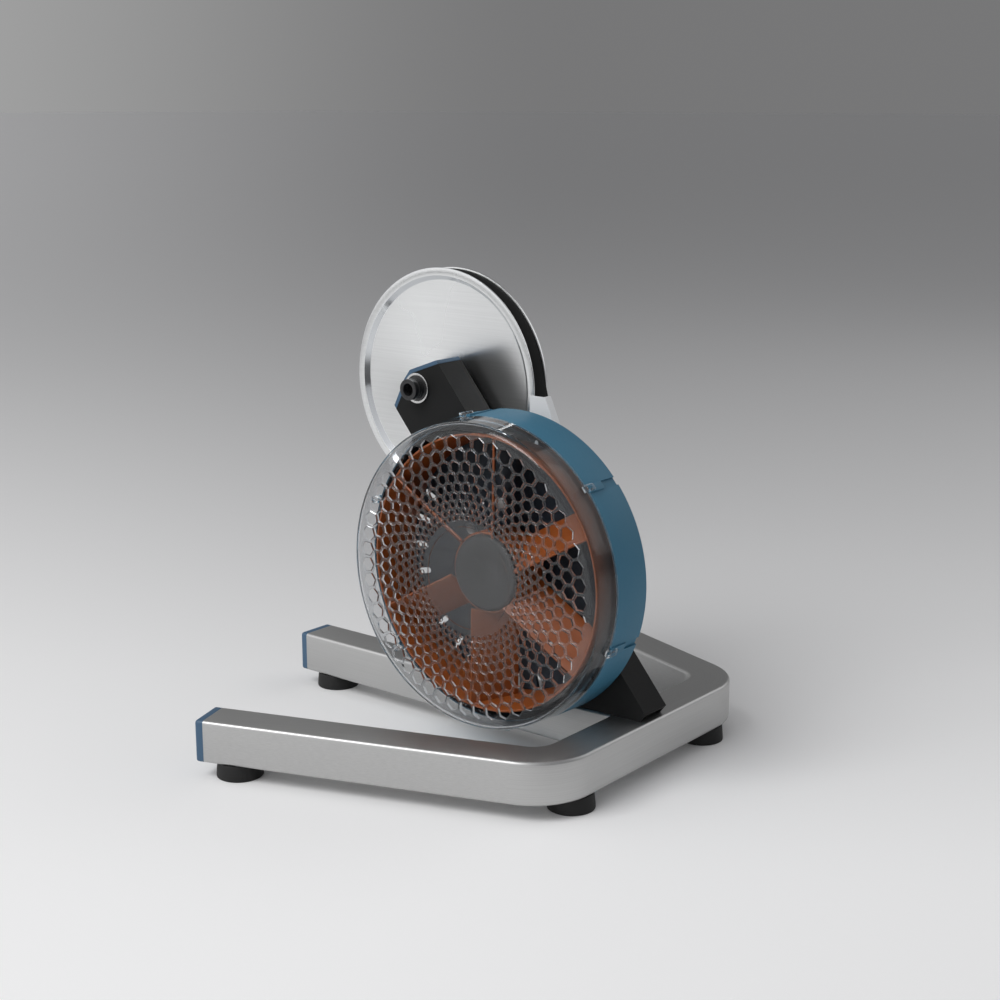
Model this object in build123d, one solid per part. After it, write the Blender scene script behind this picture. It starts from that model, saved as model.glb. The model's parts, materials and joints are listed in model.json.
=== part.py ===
from build123d import *
from math import atan2, asin, cos, degrees, hypot, pi, radians, sin, sqrt, tan
import os

# Direct drive bike trainer: a trident base of square tube, a leaning box arm that
# carries the rear axle, a belt pulley with its cassette, and a fan brake unit.
#
# Millimetres.  While it is drawn, X runs forward along the bike from the back face
# of the base tube, Y runs to the bike's left and Z up from the floor.  Every piece is
# written out with X moved so that the middle of the base's footprint is X = 0.

# Base tube
tube_size = 40.0
tube_wall = 2.5
tube_edge_radius = 3.0
tube_bend_radius = 42.0
rear_outer_width = 300.0
leg_splay = 19.6
leg_outer_length = 337.5
centre_leg_reach = 429.0
cap_thickness = 8.0
cap_edge_radius = 2.5
cap_plug_length = 18.0
cap_plug_wall = 2.5
cap_clearance = 0.2

# Feet
foot_height = 15.0
foot_radius = 21.5
foot_top_radius = 20.3
foot_from_leg_end = 26.0
rear_foot_half_track = 105.5
foot_screw_radius = 3.0
foot_screw_head_radius = 6.5
foot_screw_head_height = 4.0
foot_head_recess = 7.5
foot_screw_above_wall = 4.0
screw_clearance = 0.25

# Arm
arm_angle = 50.6
arm_width = 72.8
arm_depth = 34.0
arm_offset = 1.0
arm_wall = 3.0
arm_heel_x = 8.5
arm_heel_height = 8.0
axle_x = 271.0
axle_z = 332.5
top_front_along = 3.8
top_crown_front_along = 16.4
top_crown_front_across = 8.9
top_crown_rear_along = 19.1
top_crown_rear_across = -2.8
top_rear_along = 7.5
top_cap_thickness = 4.2
top_cap_tab_length = 12.0
top_cap_tab_thickness = 2.0
fan_from_axle = 195.7

# Hub axle and what is on it
dropout_width = 142.0
left_end_from_arm = 14.0
thru_axle_bore_radius = 6.1
axle_radius = 8.5
axle_in_adapter = 6.0
sleeve_radius = 12.4
fit_clearance = 0.05
washer_radius = 14.7
washer_ring_width = 2.4
washer_thickness = 2.2
adapter_flange_radius = 12.1
adapter_flange_thickness = 1.9
adapter_radius = 10.2
adapter_groove_radius = 9.5
adapter_groove_width = 1.2
spacer_radius = 11.0
hub_bearing_radius = 15.0
hub_bearing_width = 7.0
freehub_bearing_radius = 13.0
freehub_bearing_width = 5.0

# Belt pulley
pulley_gap = 3.4
rim_thickness = 1.6
face_thickness = 2.4
rear_plate_thickness = 2.2
front_plate_radius = 112.0
rear_plate_radius = 111.0
belt_channel_width = 18.6
drum_radius = 106.0
drum_wall = 4.0
web_thickness = 4.0
hub_radius = 20.0
hub_core_radius = 10.0
hub_behind_plate = 18.1
rim_width = 7.6
dish_depth = 4.2
dish_slope_width = 4.2
pulley_screw_count = 6
pulley_screw_circle_radius = 84.0
pulley_screw_radius = 2.5
pulley_screw_head_radius = 4.5
pulley_screw_head_height = 2.8
pulley_boss_radius = 6.0
lightening_hole_radius = 17.0
lightening_circle_radius = 52.0

# Belt
belt_thickness = 3.5
belt_running_gap = 0.3
belt_side_gap = 0.4
belt_speed_ratio = 5.0

# Belt guard
guard_plate_thickness = 1.6
guard_flange_width = 9.3
guard_flange_thickness = 2.4
guard_gap_to_pulley = 2.5
guard_lean = 66.5
guard_top_z = 332.3
guard_nose_x = 161.5
guard_nose_depth = 24.0
guard_front_reach = 30.0
guard_screw_radius = 2.0
guard_screw_head_radius = 3.8
guard_screw_head_height = 2.2
guard_screw_length = 10.0

# Ratchet, freehub and cassette
ratchet_ring_radius = 17.0
ratchet_tooth_tip_radius = 14.3
ratchet_tooth_depth = 1.1
ratchet_tooth_count = 24
ratchet_ring_width = 6.0
pawl_count = 3
pawl_length = 5.0
pawl_thickness = 2.4
freehub_nose_radius = 12.0
freehub_radius = 17.3
freehub_spline_count = 9
freehub_spline_depth = 1.3
freehub_spline_width = 3.2
freehub_flange_radius = 19.0
freehub_flange_thickness = 2.4
sprocket_teeth = [28, 24, 21, 19, 17, 15, 13, 11]
sprocket_pitch = 4.8
sprocket_thickness = 1.8
chain_pitch = 12.7
chain_roller_radius = 4.0
tooth_above_pitch = 3.0
lockring_flange_radius = 18.5
lockring_flange_thickness = 2.2
lockring_neck_radius = 14.5
lockring_neck_length = 5.0
lockring_wall = 2.0
lockring_notches = 12

# Fan shaft and small pulley
shaft_radius = 6.0
fan_bearing_radius = 14.0
fan_bearing_width = 8.0
housing_radius = 17.0
fan_pulley_flange_radius = 25.0
fan_pulley_flange_thickness = 1.5
fan_pulley_boss_radius = 9.0
shaft_past_pulley = 3.0
end_screw_radius = 2.5
end_screw_length = 14.0
end_washer_radius = 9.0
end_washer_thickness = 2.0

# Fan shroud
shroud_radius = 144.9
shroud_front_radius = 143.9
shroud_wall = 3.0
shroud_back_thickness = 3.0
shroud_depth = 42.4
mount_pad_radius = 60.0
mount_pad_height = 2.6
boss_count = 6
first_boss_angle = 40.3
boss_width = 8.0
boss_height = 1.8
boss_length = 21.0
boss_groove_depth = 2.2
vent_count = 11
vent_step = 13.0
vent_width = 6.0
vent_inner_radius = 107.0
vent_outer_radius = 124.0
shroud_screw_along = 52.0
shroud_screw_across = 24.0
shroud_screw_radius = 2.5
shroud_screw_head_radius = 4.8
shroud_screw_head_height = 2.6
shroud_screw_length = 14.0

# Fan cover
cover_depth = 30.0
cover_wall = 2.2
cover_shoulder_radius = 8.0
cover_front_radius = 142.2
cover_face_thickness = 2.5
cover_lip_length = 3.0
cover_lip_gap = 0.3
honeycomb_radius = 124.0
honeycomb_count = 51
honeycomb_rings = 9
honeycomb_shrink = 0.905
honeycomb_web = 2.8
centre_ring_radius = 47.5
centre_ring_height = 0.8
centre_ring_width = 1.2
clip_length = 12.0
clip_width = 6.5
clip_height = 2.4
clip_window = 3.2
clip_hook_depth = 0.1

# Impeller
fan_hub_radius = 36.0
fan_hub_front = 52.0
fan_hub_length = 38.0
fan_hub_wall = 3.0
fan_hub_boss_radius = 11.0
fan_hub_edge = 4.0
collar_thickness = 2.0
blade_count = 6
first_blade_angle = 29.0
blade_front = 55.0
blade_back = 19.0
blade_front_offset = 12.0
blade_back_offset = -16.0
blade_thickness = 2.2
band_front_radius = 129.5
band_back_radius = 122.0
band_wall = 2.0
band_back = 10.0
band_front = 56.0

# Worked out from the sizes above
tube_top = foot_height + tube_size
half_tube = tube_size / 2
arm_left = arm_offset + arm_depth / 2
arm_right = arm_offset - arm_depth / 2
along = (cos(radians(arm_angle)), sin(radians(arm_angle)))
across = (sin(radians(arm_angle)), -cos(radians(arm_angle)))
axle = (axle_x, axle_z)


def from_axle(distance_along, distance_across):
    """A point of the side view, from the axle along and across the arm."""
    return (axle[0] + distance_along * along[0] + distance_across * across[0],
            axle[1] + distance_along * along[1] + distance_across * across[1])


fan = from_axle(-fan_from_axle, 0)
left_end = arm_left + left_end_from_arm
right_end = left_end - dropout_width
pulley_front = arm_right - pulley_gap
channel_front = pulley_front - rim_thickness
channel_back = channel_front - belt_channel_width
pulley_back = channel_back - rear_plate_thickness
dish_front = pulley_front - dish_depth
dish_back = dish_front - face_thickness
spigot_radius = front_plate_radius - rim_width
hub_end = pulley_back - hub_behind_plate
fan_drum_radius = drum_radius / belt_speed_ratio
front_end = centre_leg_reach + cap_thickness
rear_end = min(0.0, half_tube - foot_radius)
middle_x = (front_end + rear_end) / 2


def side_plane(centre, y):
    """A plane across the Y axis: its own x is X and its own y is Z, and it faces -Y."""
    return Plane(origin=(centre[0], y, centre[1]), x_dir=(1, 0, 0), z_dir=(0, -1, 0))


def rod(centre, radius, y_left, y_right):
    """A cylinder along Y between two values of Y, the left one given first."""
    return extrude(side_plane(centre, y_left) * Circle(radius), y_left - y_right)


def pipe(centre, outer_radius, inner_radius, y_left, y_right):
    """A tube along Y between two values of Y."""
    return rod(centre, outer_radius, y_left, y_right) - rod(centre, inner_radius, y_left, y_right)


def slab(points, y_left, y_right):
    """A flat piece with a straight-sided outline in the side view."""
    outline = side_plane((0, 0), y_left) * make_face(Polyline(*points, close=True))
    return extrude(outline, y_left - y_right)


def turned(centre, points):
    """A piece turned about a Y axis, from an outline of (radius, Y) points."""
    plane = Plane(origin=(centre[0], 0, centre[1]), x_dir=(1, 0, 0), z_dir=(0, 0, 1))
    outline = plane * make_face(Polyline(*points, close=True))
    return revolve(outline, Axis((centre[0], 0, centre[1]), (0, 1, 0)))


def seen_angle(angle):
    """Unit vector in X and Z for an angle seen from the fan side: 0 is backwards, 90 is up."""
    return (-cos(radians(angle)), sin(radians(angle)))


def write(name, shape):
    """Write one sub-part, moved so that the middle of the footprint is X = 0."""
    solids = shape.solids()
    moved = [Pos(-middle_x, 0, 0) * solid for solid in solids]
    export_step(moved[0] if len(moved) == 1 else Compound(children=moved), f"parts/{name}.step")


# Base: one bent square tube with a straight leg welded to its middle
def leg_direction():
    return (cos(radians(leg_splay)), sin(radians(leg_splay)))


def leg_end_point():
    """Middle of the left leg's end face in plan."""
    direction = leg_direction()
    return (leg_outer_length * direction[0] + half_tube * direction[1],
            rear_outer_width / 2 + leg_outer_length * direction[1] - half_tube * direction[0])


def base_path():
    end = leg_end_point()
    direction = leg_direction()
    corner_y = end[1] - (end[0] - half_tube) * direction[1] / direction[0]
    middle_z = foot_height + half_tube
    return FilletPolyline((end[0], end[1], middle_z), (half_tube, corner_y, middle_z),
                          (half_tube, -corner_y, middle_z), (end[0], -end[1], middle_z),
                          radius=tube_bend_radius)


def foot_points():
    """Plan positions of the five feet, on the tubes' middle lines."""
    end = leg_end_point()
    direction = leg_direction()
    side_x = end[0] - foot_from_leg_end * direction[0]
    side_y = end[1] - foot_from_leg_end * direction[1]
    return [(side_x, side_y), (side_x, -side_y), (half_tube, rear_foot_half_track),
            (half_tube, -rear_foot_half_track), (centre_leg_reach - foot_from_leg_end, 0)]


def foot_screw_holes():
    radius = foot_screw_radius + screw_clearance
    return [Pos(x, y, foot_height + tube_wall / 2) * Cylinder(radius, 2 * tube_wall)
            for x, y in foot_points()]


def make_base_tube():
    path = base_path()
    start = Plane(origin=path @ 0, z_dir=path % 0)
    inner_size = tube_size - 2 * tube_wall
    inner_radius = tube_edge_radius - tube_wall
    outer = sweep(start * RectangleRounded(tube_size, tube_size, tube_edge_radius), path=path)
    inner = sweep(start * RectangleRounded(inner_size, inner_size, max(inner_radius, 0.5)), path=path)
    return outer - inner - foot_screw_holes()


def make_centre_leg():
    length = centre_leg_reach - tube_size
    start = Plane(origin=(tube_size, 0, foot_height + half_tube), x_dir=(0, 1, 0), z_dir=(1, 0, 0))
    inner_size = tube_size - 2 * tube_wall
    outer = extrude(start * RectangleRounded(tube_size, tube_size, tube_edge_radius), length)
    inner = extrude(start * RectangleRounded(inner_size, inner_size, 0.5), length)
    return outer - inner - foot_screw_holes()


def make_leg_cap(end, direction):
    """A moulded cap: a plate the size of the tube, and a hollow plug inside it."""
    facing = (direction[0], direction[1], 0)
    sideways = (-direction[1], direction[0], 0)
    origin = (end[0], end[1], foot_height + half_tube)
    start = Plane(origin=origin, x_dir=sideways, z_dir=facing)
    plate = extrude(start * RectangleRounded(tube_size, tube_size, tube_edge_radius), cap_thickness)
    outer_edges = plate.faces().sort_by(Axis(origin, facing))[-1].edges()
    plate = fillet(outer_edges, cap_edge_radius)
    plug_size = tube_size - 2 * tube_wall - 2 * cap_clearance
    core_size = plug_size - 2 * cap_plug_wall
    inwards = Plane(origin=origin, x_dir=sideways, z_dir=(-facing[0], -facing[1], 0))
    plug = extrude(inwards * Rectangle(plug_size, plug_size), cap_plug_length)
    return plate + (plug - extrude(inwards * Rectangle(core_size, core_size), cap_plug_length))


def make_feet():
    foot = Cone(foot_radius, foot_top_radius, foot_height)
    foot = foot - Pos(0, 0, -foot_height / 2 + foot_head_recess / 2) * Cylinder(
        foot_screw_head_radius + 1.0, foot_head_recess)
    foot = foot - Cylinder(foot_screw_radius + screw_clearance, foot_height)
    foot = chamfer(foot.edges().group_by(Axis.Z)[-1].sort_by(SortBy.RADIUS)[-1], 1.0)
    return [Pos(x, y, foot_height / 2) * foot for x, y in foot_points()]


def make_foot_screws():
    head_bottom = foot_head_recess - foot_screw_head_height
    shank_top = foot_height + tube_wall + foot_screw_above_wall
    head = Pos(0, 0, head_bottom + foot_screw_head_height / 2) * Cylinder(
        foot_screw_head_radius, foot_screw_head_height)
    socket = Pos(0, 0, head_bottom + 1.25) * extrude(RegularPolygon(2.9, 6), 2.5, both=False)
    socket = Pos(0, 0, -1.25) * socket
    shank_length = shank_top - foot_head_recess
    shank = Pos(0, 0, foot_head_recess + shank_length / 2) * Cylinder(foot_screw_radius, shank_length)
    screw = head + shank - socket
    return [Pos(x, y, 0) * screw for x, y in foot_points()]


# Arm
def arm_front(along_position):
    return from_axle(along_position, arm_width / 2)


def arm_rear(along_position):
    return from_axle(along_position, -arm_width / 2)


def front_at_height(z):
    """Where the arm's front face is at a height."""
    x, start_z = arm_front(0)
    return (x + (z - start_z) / tan(radians(arm_angle)), z)


def rear_at_height(z):
    x, start_z = arm_rear(0)
    return (x + (z - start_z) / tan(radians(arm_angle)), z)


def crown_points(inset):
    """The four corners of the arm's top end, moved in by an inset."""
    return [arm_front(top_front_along - inset),
            from_axle(top_crown_front_along - inset, top_crown_front_across - inset * 0.45),
            from_axle(top_crown_rear_along - inset, top_crown_rear_across - inset * 0.15),
            arm_rear(top_rear_along - inset)]


def arm_bottom_points():
    return [rear_at_height(tube_top + arm_heel_height), (arm_heel_x, tube_top),
            front_at_height(tube_top)]


def arm_cavity():
    """The straight hollow inside the arm, longer than the arm at both ends."""
    inside = arm_width / 2 - arm_wall
    corners = [from_axle(-2 * fan_from_axle, inside), from_axle(60, inside),
               from_axle(60, -inside), from_axle(-2 * fan_from_axle, -inside)]
    return slab(corners, arm_left - arm_wall, arm_right + arm_wall)


def make_arm():
    body = slab(crown_points(top_cap_thickness) + arm_bottom_points(), arm_left, arm_right)
    body = body - arm_cavity()
    body = body - rod(axle, sleeve_radius + fit_clearance, arm_left, arm_right)
    body = body - rod(fan, housing_radius + fit_clearance, arm_left, arm_right)
    for point in shroud_screw_points():
        body = body - rod(point, shroud_screw_radius + screw_clearance, arm_left, 0)
    for point in guard_screw_points():
        body = body - rod(point, guard_screw_radius + screw_clearance, 0, arm_right)
    return body


def make_arm_top_cap():
    outer = crown_points(0)
    inner = crown_points(top_cap_thickness)
    inner.reverse()
    cap = slab(outer + inner, arm_left, arm_right)
    inside = arm_width / 2 - arm_wall - cap_clearance
    tab_left = arm_left - arm_wall - cap_clearance
    tab_right = arm_right + arm_wall + cap_clearance
    for sign, start in ((1, top_front_along), (-1, top_rear_along)):
        top = start - top_cap_thickness
        tab = [from_axle(top + 3.0, sign * inside), from_axle(top - top_cap_tab_length, sign * inside),
               from_axle(top - top_cap_tab_length, sign * (inside - top_cap_tab_thickness)),
               from_axle(top + 3.0, sign * (inside - top_cap_tab_thickness))]
        cap = cap + slab(tab, tab_left, tab_right)
    return cap


def make_axle_sleeve():
    return pipe(axle, sleeve_radius, axle_radius + fit_clearance, arm_left, arm_right)


def make_bearing_housing():
    housing = pipe(fan, housing_radius, fan_bearing_radius - 2.0, arm_left, arm_right)
    seat = fan_bearing_radius + fit_clearance
    housing = housing - rod(fan, seat, arm_left, arm_left - fan_bearing_width - 1.0)
    return housing - rod(fan, seat, arm_right + fan_bearing_width + 1.0, arm_right)


# Hub axle
def make_hub_axle():
    return pipe(axle, axle_radius, thru_axle_bore_radius,
                left_end - axle_in_adapter, right_end + axle_in_adapter)


def make_axle_washer():
    return pipe(axle, washer_radius, washer_radius - washer_ring_width,
                arm_left + washer_thickness, arm_left)


def adapter(flange_start, flange_end, nose_end):
    """An end adapter: a flange against the arm or freehub side, and a grooved nose."""
    step = 1 if nose_end > flange_end else -1
    low, high = min(flange_start, nose_end), max(flange_start, nose_end)
    body = rod(axle, adapter_radius, high, low)
    body = body + rod(axle, adapter_flange_radius, max(flange_start, flange_end),
                      min(flange_start, flange_end))
    for index in (1, 2):
        middle = flange_end + step * index * 2.6
        groove = pipe(axle, adapter_radius + 1.0, adapter_groove_radius,
                      middle + adapter_groove_width / 2, middle - adapter_groove_width / 2)
        body = body - groove
    counterbore_end = nose_end - step * axle_in_adapter
    body = body - rod(axle, axle_radius + fit_clearance, max(flange_start, counterbore_end),
                      min(flange_start, counterbore_end))
    return body - rod(axle, thru_axle_bore_radius, high, low)


def make_left_adapter():
    return adapter(arm_left, arm_left + adapter_flange_thickness, left_end)


def make_right_adapter():
    flange_start = right_end + 9.0
    return adapter(flange_start, flange_start - adapter_flange_thickness, right_end)


def make_axle_spacer():
    return pipe(axle, spacer_radius, axle_radius + fit_clearance, arm_right, first_bearing_left())


def first_bearing_left():
    return pulley_front - 0.8


def second_bearing_left():
    return hub_end + ratchet_ring_width + 1.6 + hub_bearing_width


def bearing(centre, outer_radius, inner_radius, y_left, width):
    """A sealed ball bearing as one ring, with its two shallow seal recesses."""
    body = pipe(centre, outer_radius, inner_radius + fit_clearance / 2, y_left, y_left - width)
    seal_out = outer_radius - 1.6
    seal_in = inner_radius + 1.6
    for left in (y_left, y_left - width + 0.4):
        body = body - pipe(centre, seal_out, seal_in, left, left - 0.4)
    return body


def make_hub_bearings():
    return [bearing(axle, hub_bearing_radius, axle_radius, left, hub_bearing_width)
            for left in (first_bearing_left(), second_bearing_left())]


def make_freehub_bearings():
    return [bearing(axle, freehub_bearing_radius, axle_radius, left, freehub_bearing_width)
            for left in freehub_bearing_lefts()]


# Pulley
def pulley_screw_points():
    step = 2 * pi / pulley_screw_count
    return [(axle[0] + pulley_screw_circle_radius * cos(step * index + step / 2),
             axle[1] + pulley_screw_circle_radius * sin(step * index + step / 2))
            for index in range(pulley_screw_count)]


def make_pulley_front_plate():
    """A flat rim, a sloping step and a lower face, with a spigot that centres it in the drum."""
    plate = pipe(axle, front_plate_radius, hub_radius + fit_clearance, pulley_front, channel_front)
    plate = plate + pipe(axle, spigot_radius, hub_radius + fit_clearance, pulley_front, dish_back)
    slope_angle = degrees(atan2(dish_slope_width, dish_depth))
    dish = extrude(side_plane(axle, pulley_front) * Circle(spigot_radius), dish_depth, taper=slope_angle)
    plate = plate - dish
    for point in pulley_screw_points():
        plate = plate - rod(point, pulley_screw_radius + screw_clearance, dish_back + 1.4, dish_back)
    return plate


def make_pulley_rear_plate():
    plate = pipe(axle, rear_plate_radius, hub_radius + fit_clearance, channel_back, pulley_back)
    for point in pulley_screw_points():
        plate = plate - rod(point, pulley_screw_radius + screw_clearance, channel_back, pulley_back)
    return plate


def make_pulley_drum():
    drum = pipe(axle, drum_radius, spigot_radius + fit_clearance, channel_front, channel_back)
    drum = drum + pipe(axle, drum_radius, drum_radius - drum_wall, dish_back, channel_back)
    web_left = (channel_front + channel_back + web_thickness) / 2
    web = pipe(axle, drum_radius - drum_wall / 2, hub_core_radius + 1.0, web_left, web_left - web_thickness)
    for index in range(pulley_screw_count):
        turn = 2 * pi * index / pulley_screw_count
        centre = (axle[0] + lightening_circle_radius * cos(turn),
                  axle[1] + lightening_circle_radius * sin(turn))
        web = web - rod(centre, lightening_hole_radius, web_left, web_left - web_thickness)
    drum = drum + web + rod(axle, hub_radius, pulley_front, hub_end)
    for point in pulley_screw_points():
        drum = drum + rod(point, pulley_boss_radius, dish_back, channel_back)
    for point in pulley_screw_points():
        drum = drum - rod(point, pulley_screw_radius + screw_clearance, dish_back, channel_back)
    drum = drum - rod(axle, hub_core_radius, pulley_front, hub_end)
    seat = hub_bearing_radius + fit_clearance
    first = first_bearing_left() - hub_bearing_width - 0.2
    second_back = second_bearing_left() - hub_bearing_width
    drum = drum - rod(axle, seat, pulley_front, first)
    drum = drum - rod(axle, seat, second_bearing_left() + 0.2, second_back - 0.6)
    drum = drum - rod(axle, hub_bearing_radius - 2.0, second_back, hub_end)
    return drum - rod(axle, ratchet_ring_radius + fit_clearance, hub_end + ratchet_ring_width, hub_end)


def make_pulley_screws():
    screws = []
    for point in pulley_screw_points():
        head = rod(point, pulley_screw_head_radius, pulley_back, pulley_back - pulley_screw_head_height)
        shank = rod(point, pulley_screw_radius, dish_back + 1.2, pulley_back)
        socket = extrude(side_plane(point, pulley_back - pulley_screw_head_height + 1.4)
                         * RegularPolygon(2.2, 6), 1.4)
        screws.append(head + shank - socket)
    return screws


# Belt and guard
def belt_band(extra, y_left, y_right):
    """The outline round both pulleys, a set distance outside them."""
    big = drum_radius + extra
    small = fan_drum_radius + extra
    lean = asin((big - small) / fan_from_axle)
    half_angle = radians(arm_angle)
    corners = []
    for centre, radius, order in ((axle, big, (1, -1)), (fan, small, (-1, 1))):
        for sign in order:
            angle = half_angle + sign * (pi / 2 + lean)
            corners.append((centre[0] + radius * cos(angle), centre[1] + radius * sin(angle)))
    band = slab(corners, y_left, y_right)
    return band + rod(axle, big, y_left, y_right) + rod(fan, small, y_left, y_right)


def make_drive_belt():
    left = channel_front - belt_side_gap
    right = channel_back + belt_side_gap
    outer = belt_band(belt_running_gap + belt_thickness, left, right)
    return outer - belt_band(belt_running_gap, left, right)


def guard_line():
    """Direction down the guard's rear edge, and the outward normal, in the side view."""
    down = (-cos(radians(guard_lean)), -sin(radians(guard_lean)))
    outward = (-sin(radians(guard_lean)), cos(radians(guard_lean)))
    return down, outward


def guard_rear_distance():
    return front_plate_radius + guard_gap_to_pulley + guard_flange_thickness


def guard_points(inset):
    """Outline of the guard plate: nose, rear edge, then round below the fan shaft."""
    down, outward = guard_line()
    distance = guard_rear_distance() - inset
    foot = (axle[0] + distance * outward[0], axle[1] + distance * outward[1])
    top_z = guard_top_z
    slide = (top_z - foot[1]) / down[1]
    top = (foot[0] + slide * down[0], top_z)
    fan_distance = ((fan[0] - foot[0]) * outward[0] + (fan[1] - foot[1]) * outward[1])
    turn_radius = -fan_distance
    touch = (fan[0] + turn_radius * outward[0], fan[1] + turn_radius * outward[1])
    return top, touch, turn_radius


def guard_outline(inset):
    """Face of the guard in the side view, with its rear edge moved in by an inset."""
    top, touch, radius = guard_points(inset)
    start = degrees(atan2(touch[1] - fan[1], touch[0] - fan[0]))
    end = -90.0 + arm_angle / 2
    sweep_angle = (end - start) % 360
    middle_angle = radians(start + sweep_angle / 2)
    middle = (fan[0] + radius * cos(middle_angle), fan[1] + radius * sin(middle_angle))
    finish = (fan[0] + radius * cos(radians(end)), fan[1] + radius * sin(radians(end)))
    nose_bottom = (guard_nose_x, guard_top_z - guard_nose_depth)
    front_top = from_axle(-fan_from_axle + 75.0, guard_front_reach)
    lines = [Line(top, touch), ThreePointArc(touch, middle, finish), Line(finish, front_top),
             Line(front_top, from_axle(-fan_from_axle + 98.0, -arm_width / 2 + 8.0)),
             Line(from_axle(-fan_from_axle + 98.0, -arm_width / 2 + 8.0), nose_bottom),
             Line(nose_bottom, (guard_nose_x, guard_top_z)), Line((guard_nose_x, guard_top_z), top)]
    return make_face(Curve() + lines)


def make_belt_guard():
    left = arm_right
    plate = extrude(side_plane((0, 0), left) * guard_outline(0), guard_plate_thickness)
    wall = extrude(side_plane((0, 0), left) * guard_outline(0), guard_flange_width)
    hollow_left = left - guard_plate_thickness
    top, touch, radius = guard_points(guard_flange_thickness)
    down, outward = guard_line()
    far_front = (top[0] + 300, top[1] + 60)
    core = [(top[0] - 60 * down[0], top[1] - 60 * down[1]), touch,
            (fan[0] + radius * across[0], fan[1] + radius * across[1]), far_front]
    hollow = slab(core, hollow_left, left - guard_flange_width)
    hollow = hollow + rod(fan, radius, hollow_left, left - guard_flange_width)
    guard = plate + (wall - hollow)
    guard = guard - rod(fan, fan_pulley_boss_radius + 4.0, left, left - guard_plate_thickness)
    for point in guard_screw_points():
        guard = guard - rod(point, guard_screw_radius + screw_clearance, left, left - guard_plate_thickness)
    return guard


def guard_screw_points():
    return [from_axle(-fan_from_axle + 52.0, 22.0), from_axle(-fan_from_axle + 52.0, -22.0),
            from_axle(-fan_from_axle - 42.0, 0)]


def make_guard_screws():
    screws = []
    face = arm_right - guard_plate_thickness
    for point in guard_screw_points():
        head = rod(point, guard_screw_head_radius, face, face - guard_screw_head_height)
        shank = rod(point, guard_screw_radius, face + guard_screw_length, face)
        screws.append(head + shank)
    return screws


# Freehub and cassette
cassette_left = hub_end - 0.5 - freehub_flange_thickness
cassette_length = (len(sprocket_teeth) - 1) * sprocket_pitch + sprocket_thickness
cassette_right = cassette_left - cassette_length
freehub_right = cassette_right + 0.6


def freehub_bearing_lefts():
    return [cassette_left - 1.0, freehub_right + lockring_neck_length + 2.0 + freehub_bearing_width]


def spline_slots(radius_in, radius_out, width, y_left, y_right):
    middle = (radius_in + radius_out) / 2
    slots = []
    for index in range(freehub_spline_count):
        turn = 360.0 * index / freehub_spline_count
        outline = Rot(0, 0, turn) * Pos(middle, 0) * Rectangle(radius_out - radius_in, width)
        slots.append(extrude(side_plane(axle, y_left) * outline, y_left - y_right))
    return slots


def pawl_turns():
    return [360.0 * index / pawl_count for index in range(pawl_count)]


def pawl_block(length, thickness, inner_radius, y_left, y_right, turn):
    outline = Rot(0, 0, turn) * Pos(inner_radius + thickness / 2, 0) * Rectangle(thickness, length)
    return extrude(side_plane(axle, y_left) * outline, y_left - y_right)


def make_ratchet_ring():
    ring = rod(axle, ratchet_ring_radius, hub_end + ratchet_ring_width, hub_end)
    step = 360.0 / ratchet_tooth_count
    root = ratchet_tooth_tip_radius + ratchet_tooth_depth
    points = []
    for index in range(ratchet_tooth_count):
        turn = radians(step * index)
        points.append((root * cos(turn), root * sin(turn)))
        points.append((ratchet_tooth_tip_radius * cos(turn + radians(0.15 * step)),
                       ratchet_tooth_tip_radius * sin(turn + radians(0.15 * step))))
    opening = side_plane(axle, hub_end + ratchet_ring_width) * make_face(Polyline(*points, close=True))
    return ring - extrude(opening, ratchet_ring_width)


def pawl_left():
    return hub_end + ratchet_ring_width - 0.6


def make_pawls():
    inner = freehub_nose_radius - 1.0
    return [pawl_block(pawl_length, pawl_thickness, inner, pawl_left() - 0.2, hub_end + 0.8, turn)
            for turn in pawl_turns()]


def make_freehub_body():
    body = rod(axle, freehub_radius, cassette_left, freehub_right)
    for slot in spline_slots(freehub_radius - freehub_spline_depth, freehub_radius + 1.0,
                             freehub_spline_width, cassette_left, freehub_right):
        body = body - slot
    body = body + rod(axle, freehub_flange_radius, cassette_left + freehub_flange_thickness, cassette_left)
    body = body + rod(axle, freehub_nose_radius, pawl_left(), cassette_left)
    for turn in pawl_turns():
        body = body - pawl_block(pawl_length + 0.2, pawl_thickness, freehub_nose_radius - 1.0,
                                 pawl_left(), hub_end + 0.6, turn)
    inner_bore = axle_radius + 0.6
    seat = freehub_bearing_radius + fit_clearance
    first, second = freehub_bearing_lefts()
    body = body - rod(axle, inner_bore, pawl_left(), freehub_right)
    body = body - rod(axle, seat, first, freehub_right)
    return body - rod(axle, lockring_neck_radius + 0.1, freehub_right + lockring_neck_length, freehub_right)


def make_sprocket(teeth, y_left):
    pitch_radius = chain_pitch / (2 * sin(pi / teeth))
    outline = Circle(pitch_radius + tooth_above_pitch)
    gaps = [Rot(0, 0, 360.0 * index / teeth) * Pos(pitch_radius, 0) * Circle(chain_roller_radius)
            for index in range(teeth)]
    outline = outline - gaps - Circle(freehub_radius + 0.15)
    keys = [Rot(0, 0, 360.0 * index / freehub_spline_count)
            * Pos(freehub_radius - freehub_spline_depth / 2 + 0.3, 0)
            * Rectangle(freehub_spline_depth, freehub_spline_width - 0.4)
            for index in range(freehub_spline_count)]
    return extrude(side_plane(axle, y_left) * (outline + keys), sprocket_thickness)


def sprocket_left(index):
    return cassette_left - index * sprocket_pitch


def make_cassette_spacers():
    spacers = []
    for index in range(len(sprocket_teeth) - 1):
        left = sprocket_left(index) - sprocket_thickness
        right = sprocket_left(index + 1)
        spacers.append(pipe(axle, freehub_radius + 2.2 - 0.4 * (index > 5), freehub_radius + 0.15, left, right))
    return spacers


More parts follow.
